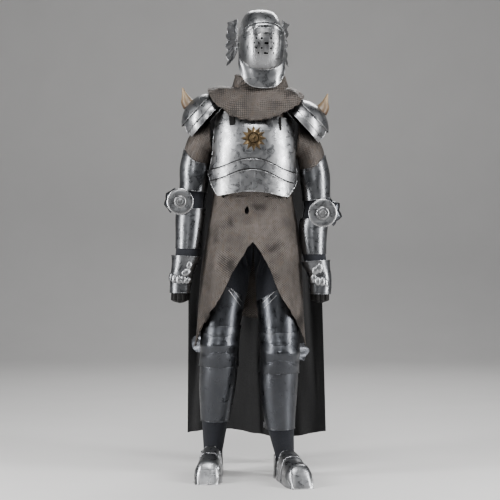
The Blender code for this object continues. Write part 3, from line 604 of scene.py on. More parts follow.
def studs(name, places, radius):
    """One mesh of domed heads, each at a place with a normal."""
    bm = bmesh.new()
    for place, normal in places:
        turn = normal.to_track_quat("Z", "Y").to_matrix().to_4x4()
        bmesh.ops.create_uvsphere(
            bm, u_segments=RIVET_SEGMENTS, v_segments=RIVET_RINGS, radius=radius,
            matrix=Matrix.Translation(place) @ turn @ Matrix.Diagonal((1, 1, RIVET_RISE, 1)),
        )
    return new_piece(name, bm)


def along_rims(obj, spacing, inset, least, wall):
    """Places and normals, evenly along a form's rims and set in from them."""
    tree = tree_of(obj)
    bm = rim_edges(obj)
    bmesh.ops.remove_doubles(bm, verts=bm.verts, dist=wall)
    found = []
    for verts, _ in chains(bm, least):
        since = 0.0
        vert, before = verts[0], None
        visited = {vert}
        while True:
            ahead = [e.other_vert(vert) for e in vert.link_edges if e.other_vert(vert) not in visited]
            if not ahead:
                break
            before, vert = vert, ahead[0]
            visited.add(vert)
            step = vert.co - before.co
            since += step.length
            if since < spacing:
                continue
            since = 0.0
            normal = tree.find_nearest(vert.co)[1]
            side = step.cross(normal).normalized() * inset
            near = [tree.find_nearest(vert.co + side * s) for s in (1, -1)]
            place, normal, _, _ = min(near, key=lambda hit: hit[3])
            found.append((place, normal))
    bm.free()
    return found


# Finishes


class Nodes:
    """A small writer for node materials."""

    def __init__(self, name, colour, metallic=0.0, roughness=0.5):
        self.material = bpy.data.materials.new(name)
        self.material.use_nodes = True
        self.tree = self.material.node_tree
        self.shader = self.tree.nodes["Principled BSDF"]
        self.shader.inputs["Base Color"].default_value = (*colour, 1)
        self.shader.inputs["Metallic"].default_value = metallic
        self.shader.inputs["Roughness"].default_value = roughness

    def add(self, kind, **values):
        node = self.tree.nodes.new(kind)
        for key, value in values.items():
            setattr(node, key, value)
        return node

    def put(self, value, socket):
        if isinstance(value, bpy.types.NodeSocket):
            self.tree.links.new(value, socket)
        elif value is not None:
            socket.default_value = value

    def place(self, scale=(1, 1, 1), turn=(0, 0, 0), uv=False):
        coordinates = self.add("ShaderNodeTexCoord")
        mapping = self.add("ShaderNodeMapping")
        self.put(coordinates.outputs["UV" if uv else "Object"], mapping.inputs["Vector"])
        mapping.inputs["Scale"].default_value = scale
        mapping.inputs["Rotation"].default_value = turn
        return mapping.outputs["Vector"]

    def noise(self, vector, scale, detail=3.0, roughness=0.5, distortion=0.0):
        node = self.add("ShaderNodeTexNoise")
        self.put(vector, node.inputs["Vector"])
        values = {"Scale": scale, "Detail": detail, "Roughness": roughness, "Distortion": distortion}
        for key, value in values.items():
            node.inputs[key].default_value = value
        return node.outputs["Fac"]

    def cell_edges(self, vector, scale):
        node = self.add("ShaderNodeTexVoronoi", feature="DISTANCE_TO_EDGE")
        self.put(vector, node.inputs["Vector"])
        node.inputs["Scale"].default_value = scale
        return node.outputs["Distance"]

    def maths(self, operation, a, b=None, clamp=False):
        node = self.add("ShaderNodeMath", operation=operation, use_clamp=clamp)
        self.put(a, node.inputs[0])
        self.put(b, node.inputs[1])
        return node.outputs[0]

    def span(self, value, low, high, to_low=0.0, to_high=1.0):
        node = self.add("ShaderNodeMapRange", clamp=True)
        self.put(value, node.inputs["Value"])
        for key, number in (("From Min", low), ("From Max", high), ("To Min", to_low), ("To Max", to_high)):
            node.inputs[key].default_value = number
        return node.outputs["Result"]

    def blend(self, share, a, b, kind="MIX"):
        node = self.add("ShaderNodeMix", data_type="RGBA", blend_type=kind)
        self.put(share, node.inputs[0])
        self.put(a if isinstance(a, bpy.types.NodeSocket) else (*a, 1), node.inputs[6])
        self.put(b if isinstance(b, bpy.types.NodeSocket) else (*b, 1), node.inputs[7])
        return node.outputs[2]

    def attribute(self, name):
        return self.add("ShaderNodeAttribute", attribute_name=name).outputs["Fac"]

    def bump(self, height, strength, distance, under=None):
        node = self.add("ShaderNodeBump")
        node.inputs["Strength"].default_value = strength
        node.inputs["Distance"].default_value = distance
        self.put(height, node.inputs["Height"])
        if under is not None:
            self.put(under, node.inputs["Normal"])
        return node.outputs["Normal"]

    def finish(self, colour=None, roughness=None, normal=None):
        for key, value in (("Base Color", colour), ("Roughness", roughness), ("Normal", normal)):
            if value is not None:
                self.put(value, self.shader.inputs[key])
        return self.material


def shade(colour, by):
    return tuple(min(1.0, c * by) for c in colour)


def steel_finish(name, colour, grime, roughness):
    """Hammered, scratched steel, dulled in patches and worn bright along its rims, with painted shade on its
    inner walls.
    """
    n = Nodes(name, colour, 1.0, roughness)
    flat = n.place()
    broad = n.noise(flat, 7.0, 4.0, 0.6)
    mottle = n.noise(flat, 38.0, 5.0, 0.65, 0.6)
    speck = n.noise(flat, 210.0, 3.0, 0.7)
    scratch = n.noise(n.place((240, 9, 14), (0.3, 0.5, 0.2)), 1.0, 2.0, 0.5)
    other = n.noise(n.place((8, 16, 260), (0.2, -0.6, 0.4)), 1.0, 2.0, 0.5)
    lines = n.maths("MAXIMUM", n.span(scratch, 0.66, 0.72), n.span(other, 0.68, 0.74))
    wear = n.attribute("wear")
    base = n.blend(n.span(broad, 0.35, 0.68), shade(colour, 0.68), colour)
    base = n.blend(n.span(mottle, 0.54, 0.78, 0.0, 0.5), base, grime)
    base = n.blend(n.span(speck, 0.66, 0.74, 0.0, 0.3), base, shade(grime, 0.6))
    base = n.blend(n.span(wear, 0.30, 0.80, 0.0, 0.4), base, shade(grime, 0.8))
    base = n.blend(n.maths("MULTIPLY", lines, 0.35), base, shade(colour, 1.35))
    base = n.blend(n.span(wear, 0.86, 1.0, 0.0, 0.8), base, shade(colour, 1.7))
    # painted shade: the inner walls take the near-black inside colour, as if unlit
    base = n.blend(n.attribute("inside"), base, INSIDE_SHADE)
    rough = n.span(mottle, 0.3, 0.75, roughness - 0.08, roughness + 0.20)
    rough = n.maths("ADD", rough, n.maths("MULTIPLY", lines, 0.10))
    rough = n.maths("ADD", rough, n.maths("MULTIPLY", n.attribute("inside"), 0.4), True)
    dents = n.bump(n.noise(flat, 26.0, 2.0, 0.5), 0.25, 0.003)
    fine = n.bump(n.maths("SUBTRACT", speck, lines), 0.12, 0.0006, dents)
    return n.finish(base, rough, fine)


def ring_cover(n, vector, sway):
    """Height of one lattice of rings, leaning to one side."""
    cell = n.add("ShaderNodeVectorMath", operation="FRACTION")
    n.put(vector, cell.inputs[0])
    middle = n.add("ShaderNodeVectorMath", operation="SUBTRACT")
    n.put(cell.outputs[0], middle.inputs[0])
    middle.inputs[1].default_value = (0.5, 0.5, 0)
    size = n.add("ShaderNodeVectorMath", operation="LENGTH")
    n.put(middle.outputs[0], size.inputs[0])
    away = n.maths("ABSOLUTE", n.maths("SUBTRACT", size.outputs["Value"], 0.40))
    ring = n.span(away, 0.0, 0.15, 1.0, 0.0)
    parts = n.add("ShaderNodeSeparateXYZ")
    n.put(middle.outputs[0], parts.inputs[0])
    lean = n.maths("ADD", n.maths("MULTIPLY", parts.outputs["X"], sway), 0.75)
    return n.maths("MULTIPLY", ring, lean)


def mail_finish(name, colour, pitch):
    """Linked rings in rows that lean by turns, brown-grey, rusted in patches, with painted shade between the
    rings.
    """
    n = Nodes(name, colour, 0.75, 0.5)
    flat = n.place()
    uv = n.add("ShaderNodeVectorMath", operation="ADD")
    n.put(n.place((1 / pitch, 1 / (0.9 * pitch), 1), uv=True), uv.inputs[0])
    wander = n.add("ShaderNodeVectorMath", operation="SCALE")
    jitter = n.add("ShaderNodeTexNoise")
    n.put(flat, jitter.inputs["Vector"])
    jitter.inputs["Scale"].default_value = 14.0
    n.put(jitter.outputs["Color"], wander.inputs[0])
    wander.inputs["Scale"].default_value = 0.7
    n.put(wander.outputs[0], uv.inputs[1])
    uv = uv.outputs[0]
    other = n.add("ShaderNodeVectorMath", operation="ADD")
    n.put(uv, other.inputs[0])
    other.inputs[1].default_value = (0.5, 0.5, 0)
    height = n.maths("MAXIMUM", ring_cover(n, uv, 0.5), ring_cover(n, other.outputs[0], -0.5))
    broad = n.noise(flat, 9.0, 4.0, 0.6)
    fine = n.noise(flat, 60.0, 4.0, 0.6)
    wire = n.blend(n.span(broad, 0.38, 0.64), shade(colour, 0.60), colour)
    wire = n.blend(n.span(fine, 0.50, 0.7, 0.0, 0.7), wire, (0.105, 0.080, 0.062))
    # painted shade: the gaps between the rings, and the side each ring leans away from, are drawn darker
    base = n.blend(n.span(height, 0.05, 0.45), shade(colour, 0.22), wire)
    rough = n.span(fine, 0.3, 0.7, 0.42, 0.68)
    return n.finish(base, rough, n.bump(height, 0.9, 0.0016))


def cloth_finish(name, colour, thread, wool=False):
    """Woven cloth with a slight nap, dusty in patches."""
    n = Nodes(name, colour, 0.0, 0.9)
    n.shader.inputs["Sheen Weight"].default_value = 0.06 if wool else 0.03
    n.shader.inputs["Sheen Roughness"].default_value = 0.5
    uv = n.place((1 / thread, 1 / thread, 1), uv=True)
    waves = []
    for direction in ("X", "Y"):
        wave = n.add("ShaderNodeTexWave", wave_type="BANDS", bands_direction=direction)
        n.put(uv, wave.inputs["Vector"])
        wave.inputs["Scale"].default_value = 0.5
        wave.inputs["Distortion"].default_value = 0.6
        waves.append(wave.outputs["Fac"])
    weave = n.maths("MULTIPLY", waves[0], waves[1])
    flat = n.place()
    dust = n.noise(flat, 14.0, 5.0, 0.65)
    lint = n.noise(flat, 260.0, 2.0, 0.6)
    base = n.blend(n.span(weave, 0.1, 0.9), shade(colour, 0.7), shade(colour, 1.25))
    base = n.blend(n.span(dust, 0.5, 0.8, 0.0, 0.3), base, tuple(c * 1.8 + 0.002 for c in colour))
    rough = n.span(lint, 0.3, 0.7, 0.82, 0.98)
    height = n.maths("ADD", weave, n.maths("MULTIPLY", lint, 0.6))
    return n.finish(base, rough, n.bump(height, 0.35, 0.0006))


def leather_finish(name, colour):
    n = Nodes(name, colour, 0.0, 0.55)
    n.shader.inputs["Specular IOR Level"].default_value = 0.15
    flat = n.place()
    grain = n.cell_edges(flat, 420.0)
    scuff = n.noise(flat, 40.0, 5.0, 0.7)
    base = n.blend(n.span(scuff, 0.5, 0.75, 0.0, 0.8), colour, shade(colour, 1.8))
    rough = n.span(scuff, 0.3, 0.8, 0.42, 0.72)
    return n.finish(base, rough, n.bump(n.span(grain, 0.0, 0.12), 0.4, 0.0005))


def horn_finish(name):
    """Pale horn, browner at its foot, ringed and streaked along."""
    n = Nodes(name, (0.42, 0.27, 0.14), 0.0, 0.42)
    length = n.attribute("wear")
    flat = n.place()
    streak = n.noise(n.place((60, 60, 6)), 1.0, 4.0, 0.6, 0.5)
    spots = n.noise(flat, 85.0, 4.0, 0.6)
    base = n.blend(n.span(length, 0.05, 0.75), (0.050, 0.026, 0.013), (0.24, 0.165, 0.085))
    base = n.blend(n.span(streak, 0.45, 0.65, 0.0, 0.6), base, (0.085, 0.050, 0.024))
    base = n.blend(n.span(spots, 0.6, 0.72, 0.0, 0.5), base, (0.16, 0.10, 0.07))
    ridges = n.noise(n.place((20, 20, 300)), 1.0, 2.0, 0.5)
    return n.finish(base, n.span(streak, 0.3, 0.7, 0.32, 0.55), n.bump(ridges, 0.5, 0.0012))


def brass_finish(name):
    n = Nodes(name, (0.15, 0.105, 0.055), 1.0, 0.38)
    flat = n.place()
    tarnish = n.noise(flat, 70.0, 5.0, 0.65)
    base = n.blend(n.span(tarnish, 0.42, 0.68), (0.15, 0.105, 0.055), (0.035, 0.026, 0.018))
    return n.finish(base, n.span(tarnish, 0.3, 0.7, 0.25, 0.6), n.bump(n.noise(flat, 320.0), 0.2, 0.0005))


# Long soft folds of the cape: from, to, width in metres, share of the fold's depth
CAPE_FOLDS = (
    ((-0.20, 0.14, -0.30), (-0.25, 0.22, -1.34), 0.024, 1.0),
    ((-0.13, 0.15, -0.12), (-0.16, 0.24, -1.36), 0.030, 0.8),
    ((-0.06, 0.15, -0.45), (-0.07, 0.24, -1.36), 0.022, 1.1),
    ((0.00, 0.15, -0.10), (0.02, 0.24, -0.95), 0.026, 0.7),
    ((0.07, 0.15, -0.35), (0.09, 0.24, -1.36), 0.030, 1.0),
    ((0.14, 0.15, -0.12), (0.17, 0.23, -1.33), 0.024, 0.9),
    ((0.19, 0.14, -0.55), (0.25, 0.22, -1.34), 0.028, 1.2),
    ((-0.24, 0.20, -0.80), (-0.21, 0.22, -1.34), 0.020, 0.8),
)
HIP_LOW = -0.56
# Creases of the breeches where they show: from, to, width and depth in metres
LEG_CREASES = {
    "right": (
        ((-0.20, 0.00, -1.235), (-0.14, 0.00, -1.250), 0.007, 0.0035),
        ((-0.20, 0.01, -1.268), (-0.15, 0.00, -1.256), 0.006, -0.0030),
        ((-0.19, 0.02, -1.290), (-0.13, 0.01, -1.283), 0.008, 0.0038),
        ((-0.20, 0.03, -1.318), (-0.14, 0.02, -1.306), 0.006, -0.0028),
        ((-0.12, -0.06, -0.560), (-0.05, -0.07, -0.640), 0.012, 0.0050),
        ((-0.10, -0.07, -0.620), (-0.04, -0.07, -0.690), 0.010, -0.0040),
    ),
    "left": (
        ((0.08, -0.09, -1.235), (0.14, -0.09, -1.252), 0.007, 0.0035),
        ((0.08, -0.08, -1.266), (0.15, -0.08, -1.258), 0.006, -0.0030),
        ((0.09, -0.08, -1.292), (0.15, -0.08, -1.284), 0.008, 0.0038),
        ((0.09, -0.08, -1.316), (0.15, -0.07, -1.308), 0.006, -0.0028),
        ((0.04, -0.07, -0.570), (0.11, -0.08, -0.650), 0.012, 0.0050),
        ((0.03, -0.07, -0.630), (0.09, -0.08, -0.700), 0.010, -0.0040),
    ),
}
RIP_PIXEL = (247.0, 211.5)
RIP_SIZE = (0.0085, 0.0145)  # half its width and height
RIP_TEAR = 0.35
RIP_TEAR_SCALE = 2.1
RIP_DEEP = 0.020
COLLAR_DROP = 0.012
HORN_SPREAD = 0.9
HORN_BEND = 0.006
HORN_LEAN = 0.012
HORN_INNER = 2.2  # shares of the spread, on each side of the horn and along the shoulder
HORN_OUTER = 0.5
HORN_ALONG = 0.3
HORN_FOOT = 0.3
HORN_SHARP_TURN = 70
KNEE_RIDGE = 0.0060
KNEE_GROOVE = 0.0022
KNEE_DROP = 0.004
# The dark wires over the waist lames are painted shadow, laid where the shadow gap under each plate's edge
# falls
SHADOW_LINE_RISE = 0.0040
SHADOW_LINE_RADIUS = 0.0028
EDGE_ACROSS = 0.010
EDGE_DROP = 0.028
ELBOW_WING_REACH = {"right": 0.014, "left": 0.024}
WING_RIBS = 3
GLOVE_KNUCKLES = -0.690  # fingers show below this height
FINGERS = 4
FIST_WIDTH = 0.085
FINGER_GROOVE = 0.006
FINGER_FADE = 0.02  # the grooves deepen over this height
LOBE_SEGMENTS = 14
LOBE_RINGS = 9
KNEE_RIDGE_WIDTH = 0.016
KNEE_GROOVE_PLACE = 0.034
KNEE_GROOVE_WIDTH = 0.008
KNEE_CENTRE = 0.02
FLUTE_FOOT = 0.03
BADGE_SIDES = 28
# Rings of the badge: piece, radius, its wire's radius and how deep it lies, in metres
BADGE_RINGS = (
    ("badge_ring", 0.022, 0.0026, 0.0070),
    ("badge_inner_ring", 0.013, 0.0014, 0.0035),
)
SHADOW_LINE_GAP = 0.004  # points of the painted shadow line over the waist lames are at least this far apart
IN_FRONT = 0.2
HORN_GAP = 0.0003  # a horn's foot stays this far off its cap
WING_STEPS = 4  # along each rib, and outwards
WING_START = -50
WING_TURN = 120
WING_ROOT = 0.55  # share of the disc's radius
WING_DEPTH = 0.010
WING_SWEEP = 0.016
WING_FLUTE = 0.0022
WING_THICK = 0.0014
WING_WEAR = 0.006
BUCKLE_LIFT = 0.004
BUCKLE_HALF = 0.008
BUCKLE_HEIGHT = 0.62  # share of the strap's width
TONGUE_LIFT = 0.0045
TONGUE_HALF = 0.009
BUCKLE_WIRE = 0.0013

# Raised lobes of the gauntlets: piece, nodes, then pixel, width, length and rise in metres, turn in degrees
LOBES = (
    ("knuckles_right", ("gauntlet_right", "knuckle_plate_right", "glove_right"), (
        (169.6, 277.0, 0.027, 0.036, 0.007, 0), (174.0, 278.6, 0.027, 0.037, 0.009, 0),
        (178.8, 279.4, 0.027, 0.037, 0.009, 0), (183.2, 279.6, 0.026, 0.035, 0.008, 0),
        (186.4, 272.5, 0.042, 0.032, 0.010, 25), (188.0, 280.6, 0.036, 0.028, 0.009, 15),
        (189.6, 266.0, 0.028, 0.036, 0.008, 0),
    )),
    ("knuckles_left", ("gauntlet_left", "knuckle_plate_left", "glove_left"), (
        (313.0, 278.6, 0.030, 0.040, 0.009, -25), (317.6, 281.4, 0.027, 0.037, 0.009, 0),
        (322.2, 281.6, 0.027, 0.037, 0.009, 0), (326.0, 283.0, 0.024, 0.035, 0.007, 10),
        (319.6, 268.4, 0.030, 0.038, 0.006, 0), (314.6, 271.6, 0.027, 0.040, 0.007, -20),
    )),
)

# Finish and slot of the thin pieces
STEEL = ("bright", "polished_steel")
DARK_STEEL = ("dark", "dark_steel")
LEATHER = ("leather", "leather")

# Ridges and edges: piece, node it lies on, finish and slot, radius in metres, pixels
LINES = (
    ("wing_bar_right", "wing_right", STEEL, 0.0032, ((236.0, 26), (236.4, 40), (235.2, 54))),
    ("wing_bar_left", "wing_left", STEEL, 0.0028, ((283.0, 26), (285.6, 40), (286.4, 52))),
    ("cuisse_trim_right_1", "cuisse_right", STEEL, 0.0013, ((231.6, 288.0), (242.5, 302.5))),
    ("cuisse_trim_right_2", "cuisse_right", STEEL, 0.0013, ((228.6, 290.0), (240.5, 306.0))),
    ("cuisse_trim_left_1", "cuisse_left", STEEL, 0.0013, ((275.0, 291.0), (262.5, 303.0))),
    ("cuisse_trim_left_2", "cuisse_left", STEEL, 0.0013, ((276.5, 295.5), (264.0, 308.0))),
    ("poleyn_ridge_right_1", "poleyn_right", DARK_STEEL, 0.0019,
     ((200.5, 331), (213, 336), (227, 336), (239, 331))),
    ("poleyn_ridge_right_2", "poleyn_right", DARK_STEEL, 0.0019,
     ((201.5, 358), (213, 353), (227, 353), (238, 358))),
    ("poleyn_ridge_left_1", "poleyn_left", DARK_STEEL, 0.0019,
     ((263, 340), (274, 345), (286, 345), (296, 340))),
    ("poleyn_ridge_left_2", "poleyn_left", DARK_STEEL, 0.0019,
     ((264, 366), (274, 361), (286, 361), (296, 366))),
)

# Thin pieces laid on the plates: piece, nodes, finish and slot, thickness, four pixels
PATCHES = (
    ("shoulder_strap_right", ("breastplate",), LEATHER, 0.0030,
     ((229.0, 115.0), (234.6, 114.5), (235.2, 124.5), (229.6, 125.5))),
    ("shoulder_strap_left", ("breastplate",), LEATHER, 0.0024,
     ((278.4, 116.0), (280.8, 116.0), (281.4, 130.5), (279.4, 130.5))),
    ("sabaton_lame_right", ("sabaton_toe_right", "sabaton_instep_right"), STEEL, 0.0018,
     ((202.0, 464.5), (224.0, 464.5), (224.6, 469.5), (201.4, 469.5))),
)

# Rivets: piece, nodes they stand on, body they ride, share of a rivet's size, pixels
RIVETS = (
    ("brow_rivets", ("brow_band",), "suit", 0.8, ((251.5, 34), (265, 33), (274.5, 34.5))),
    ("visor_rivets", ("visor",), "visor", 0.9, ((265, 65),)),
    ("waist_rivets", ("waist_lame_upper", "waist_lame_lower", "breastplate"), "suit", 1.0,
     ((226, 192), (279.5, 190.5))),
)

# Straps: piece, nodes they lie on, middle of the limb, first and last angle, height and width in metres
STRAPS = (
    ("strap_calf_left", ("greave_left", "breeches_left"), (0.100, -0.045), 350, 168, -1.240, 0.016),
)

INSIDE_SHADE = (0.012, 0.011, 0.010)  # painted shade: the near-black colour of the plates' inner walls, as if unlit
FINISHES = {}


def finish_named(key):
    """Each finish is made once, when its first piece needs it."""
    steel, mail, cloth, _ = settings()
    makers = {
        "bright": lambda: steel_finish("polished steel", steel.bright, (0.20, 0.19, 0.18), 0.27),
        "dark": lambda: steel_finish("darkened steel", steel.dark, (0.07, 0.07, 0.07), 0.30),
        "arm": lambda: steel_finish("arm steel", steel.arm, (0.10, 0.10, 0.10), 0.27),
        "mail": lambda: mail_finish("mail", mail.colour, mail.ring),
        "cape": lambda: cloth_finish("cape cloth", cloth.cape, 0.0022, True),
        "under": lambda: cloth_finish("under cloth", cloth.breeches, 0.0016),
        "leather": lambda: leather_finish("black leather", (0.0040, 0.0036, 0.0034)),
        "horn": lambda: horn_finish("horn"),
        "brass": lambda: brass_finish("aged brass"),
    }
    if key not in FINISHES:
        FINISHES[key] = makers[key]()
    return FINISHES[key]


# Patterns that follow a surface


def unroll(obj, middle, axis, radius):
    """A UV map in metres: round an axis, and along it."""
    up = axis.normalized()
    across = up.cross(Vector((0, 1, 0))).normalized()
    ahead = across.cross(up)
    layer = obj.data.uv_layers.new(name="cut")

    def turn(place):
        flat = place - middle
        return math.atan2(flat.dot(across), -flat.dot(ahead))

    for face in obj.data.polygons:
        centre = turn(face.center)
        for index in face.loop_indices:
            place = obj.data.vertices[obj.data.loops[index].vertex_index].co
            angle = turn(place)
            angle += 2 * math.pi * round((centre - angle) / (2 * math.pi))
            layer.data[index].uv = (angle * radius, (place - middle).dot(up))


def unroll_cone(obj, middle, share):
    """A UV map in metres for a collar that spreads from its neck."""
    layer = obj.data.uv_layers.new(name="cut")
    for face in obj.data.polygons:
        centre = math.atan2(face.center.x - middle.x, face.center.y - middle.y)
        for index in face.loop_indices:
            place = obj.data.vertices[obj.data.loops[index].vertex_index].co - middle
            angle = math.atan2(place.x, place.y)
            angle += 2 * math.pi * round((centre - angle) / (2 * math.pi))
            slant = math.hypot(math.hypot(place.x, place.y), 0.7 * place.z)
            layer.data[index].uv = (slant * math.sin(share * angle), slant * math.cos(share * angle))


def crease(obj, tree, start, end, width, depth):
    """A soft fold between two places: both walls move along the cloth's own normal there."""
    start, end = Vector(start), Vector(end)
    normal = tree.find_nearest((start + end) / 2)[1]
    run = end - start

    def offset(place):
        share = max(0.0, min(1.0, (place - start).dot(run) / run.length_squared))
        away = (place - start - run * share).length
        fade = math.sin(math.pi * (0.12 + 0.76 * share))
        return normal * (depth * fade * math.exp(-((away / width) ** 2)))

    shift(obj, offset)


# Operators


class Build:
    bl_options = {"REGISTER", "UNDO"}

    def execute(self, context):
        self.make()
        return {"FINISHED"}


def flute(obj, ribs, depth):
    """Ridges that fan out across a wing from its front foot."""
    places = [v.co for v in obj.data.vertices]
    front = min(p.y for p in places) - FLUTE_FOOT
    level = sum(p.z for p in places) / len(places)

    def offset(place):
        return Vector((depth * math.cos(ribs * math.atan2(place.z - level, place.y - front)), 0, 0))

    shift(obj, offset)


def knee_ridge(obj):
    """A ridge across the middle of a knee plate, and a groove above and below it."""
    places = [v.co for v in obj.data.vertices]
    middle = sum(places, Vector()) / len(places)

    def offset(place):
        away = Vector((place.x - middle.x, place.y - middle.y - KNEE_CENTRE, 0)).normalized()
        rise = place.z - middle.z - KNEE_DROP
        ridge = KNEE_RIDGE * math.exp(-((rise / KNEE_RIDGE_WIDTH) ** 2))
        groove = KNEE_GROOVE * math.exp(-(((abs(rise) - KNEE_GROOVE_PLACE) / KNEE_GROOVE_WIDTH) ** 2))
        return away * ((ridge - groove) * max(0.0, -away.y) ** 0.5)

    shift(obj, offset)


def dress_plate(node, finish, body="suit", levels=2, rim=True, dents=True):
    steel = settings()[0]
    obj = refine(copy_of(node), 3 if node.startswith("poleyn_") and "wing" not in node else levels)
    if node.startswith("poleyn_wing"):
        flute(obj, *KNEE_WING_FLUTES)
    elif node.startswith("poleyn"):
        knee_ridge(obj)
    elif node.startswith("wing"):
        flute(obj, *HELMET_WING_FLUTES)
    if dents:
        dent(obj, steel.dent)
    mark_wear(obj, KNEE_WING_WEAR if node.startswith("poleyn_wing") else WEAR_REACH)
    if not node.startswith(SHOWN_BOTH):
        mark_inside(obj, node)
    only(obj)
    bpy.ops.object.shade_smooth_by_angle(angle=math.radians(PLATE_SMOOTH))
    settle(obj, finish_named(finish), body, (node,))
    if rim:
        wall = BREAST_RIM_WALL if node in ("breastplate", "backplate") else RIM_WALL
        wire = rolled_rim(obj, node + "_rim", steel.rim, wall)
        settle(wire, finish_named(finish), body)
    return obj


class ARMOUR_OT_plates(Build, bpy.types.Operator):
    """Refine every plate, give it rolled rims and its finish"""

    bl_idname = "armour.plates"
    bl_label = "Plates"

    def make(self):
        for node in BRIGHT:
            body = "visor" if node == "visor" else "suit"
            flat = node.startswith(("couter_disc", "pivot"))
            dress_plate(node, "bright", body, 1 if flat else 2, not flat, not flat)
        for node in DARK:
            dress_plate(node, "arm" if node.startswith(ARM_PLATES) else "dark")


class ARMOUR_OT_badge(Build, bpy.types.Operator):
    """Finish the star-shaped badge on the breast"""

    bl_idname = "armour.badge"
    bl_label = "Badge"

    def make(self):
        obj = copy_of("breast_badge")
        mark_wear(obj)
        settle(obj, finish_named("brass"), "suit", ("breast_badge",))
        places = [v.co for v in obj.data.vertices]
        front = min(p.y for p in places)
        low, high = min(p.z for p in places), max(p.z for p in places)
        middle = Vector((sum(p.x for p in places) / len(places), front, (low + high) / 2))
        for name, radius, wire, deep in BADGE_RINGS:
            bm = bmesh.new()
            ring = []
            for k in range(BADGE_SIDES):
                angle = 2 * math.pi * k / BADGE_SIDES
                out = Vector((radius * math.cos(angle), deep, radius * math.sin(angle)))
                ring.append(bm.verts.new(middle + out))
            for a, b in zip(ring, ring[1:] + ring[:1]):
                bm.edges.new((a, b))
            settle(wire_of(bm, name, wire), finish_named("brass"))


def cut_rip(obj):
    """Cuts the small rip through the front of the skirt."""
    place, _ = through_pixel(tree_of(obj), *RIP_PIXEL)
    bpy.ops.object.select_all(action="DESELECT")
    bpy.ops.mesh.primitive_uv_sphere_add(segments=14, ring_count=8, radius=1.0, location=(0, 0, 0))
    cutter = bpy.context.view_layer.objects.active
    cutter.data.uv_layers.remove(cutter.data.uv_layers[0])
    for vert in cutter.data.vertices:
        tear = 1 + RIP_TEAR * noise.noise(vert.co * RIP_TEAR_SCALE)
        wide, high = (tear_half * tear for tear_half in RIP_SIZE)
        vert.co = place + Vector((vert.co.x * wide, vert.co.y * RIP_DEEP, vert.co.z * high))
    cut = obj.modifiers.new("rip", "BOOLEAN")
    cut.object = cutter
    cut.solver = "EXACT"
    apply_all(obj)
    bpy.data.objects.remove(cutter)


class ARMOUR_OT_mail(Build, bpy.types.Operator):
    """Refine the mail and lay its rings on it"""

    bl_idname = "armour.mail"
    bl_label = "Mail"

    def make(self):
        mail = settings()[1]
        for node in ("mail_front", "mail_back", "mail_skirt"):
            obj = refine(copy_of(node), 3 if node == "mail_skirt" else 2)
            if node == "mail_skirt":
                cut_rip(obj)
                ragged(obj, 0.012)
            unroll(obj, Vector((0, 0, 0)), Vector((0, 0, 1)), 0.16)
            settle(obj, finish_named("mail"), "suit", (node,))
            if node == "mail_skirt":
                hem = ring_row("mail_skirt_rings", obj, mail.ring, mail.wire)
                settle(hem, finish_named("mail"))
        collar = refine(copy_of("mail_collar"), 3)
        shift(collar, lambda p: Vector((0, 0, -COLLAR_DROP * max(0.0, min(1.0, (-0.055 - p.y) / 0.04)))))
        ragged(collar, 0.007)
        unroll_cone(collar, Vector((0.018, 0, 0.12)), 0.75)
        settle(collar, finish_named("mail"), "suit", ("mail_collar",))
        settle(ring_row("mail_collar_rings", collar, mail.ring, mail.wire), finish_named("mail"))
        for side, sign in SIDES.items():
            sleeve = refine(copy_of("mail_sleeve_" + side), 2)
            unroll(sleeve, Vector((sign * 0.21, 0, -0.16)), Vector((-sign * 0.35, 0, 1)), 0.055)
            settle(sleeve, finish_named("mail"), "suit", ("mail_sleeve_" + side,))
            rings = ring_row(f"mail_sleeve_rings_{side}", sleeve, mail.ring, mail.wire)
            settle(rings, finish_named("mail"))


class ARMOUR_OT_cloth(Build, bpy.types.Operator):
    """Fold the cape, wrinkle the breeches and refine the arming sleeves"""

    bl_idname = "armour.cloth"
    bl_label = "Cloth"

    def make(self):
        cape = refine(copy_of("cape"), 3)
        surface = tree_of(cape)
        for start, end, width, depth in CAPE_FOLDS:
            crease(cape, surface, start, end, width, depth * settings()[2].fold)
        unroll(cape, Vector((0, -3.0, 0)), Vector((0, 0, 1)), 3.2)
        settle(cape, finish_named("cape"), "suit", ("cape",))
        for side, sign in SIDES.items():
            leg = refine(copy_of("breeches_" + side), 3)

            def draw_in(place, sign=sign):
                share = max(0.0, min(1.0, (place.z - HIP_LOW) / 0.06))
                return Vector((-sign * 0.006, 0.010 if place.y < 0 else -0.004, 0)) * share

            shift(leg, draw_in)
            surface = tree_of(leg)
            for start, end, width, depth in LEG_CREASES[side]:
                crease(leg, surface, start, end, width, depth)
            unroll(leg, Vector((sign * 0.12, 0, -0.9)), Vector((0, 0, 1)), 0.075)
            settle(leg, finish_named("under"), "suit", ("breeches_" + side,))
            sleeve = refine(copy_of("arming_sleeve_" + side), 2)
            unroll(sleeve, Vector((sign * 0.24, -0.02, -0.4)), Vector((-sign * 0.08, 0.05, 1)), 0.048)
            settle(sleeve, finish_named("under"), "suit", ("arming_sleeve_" + side,))


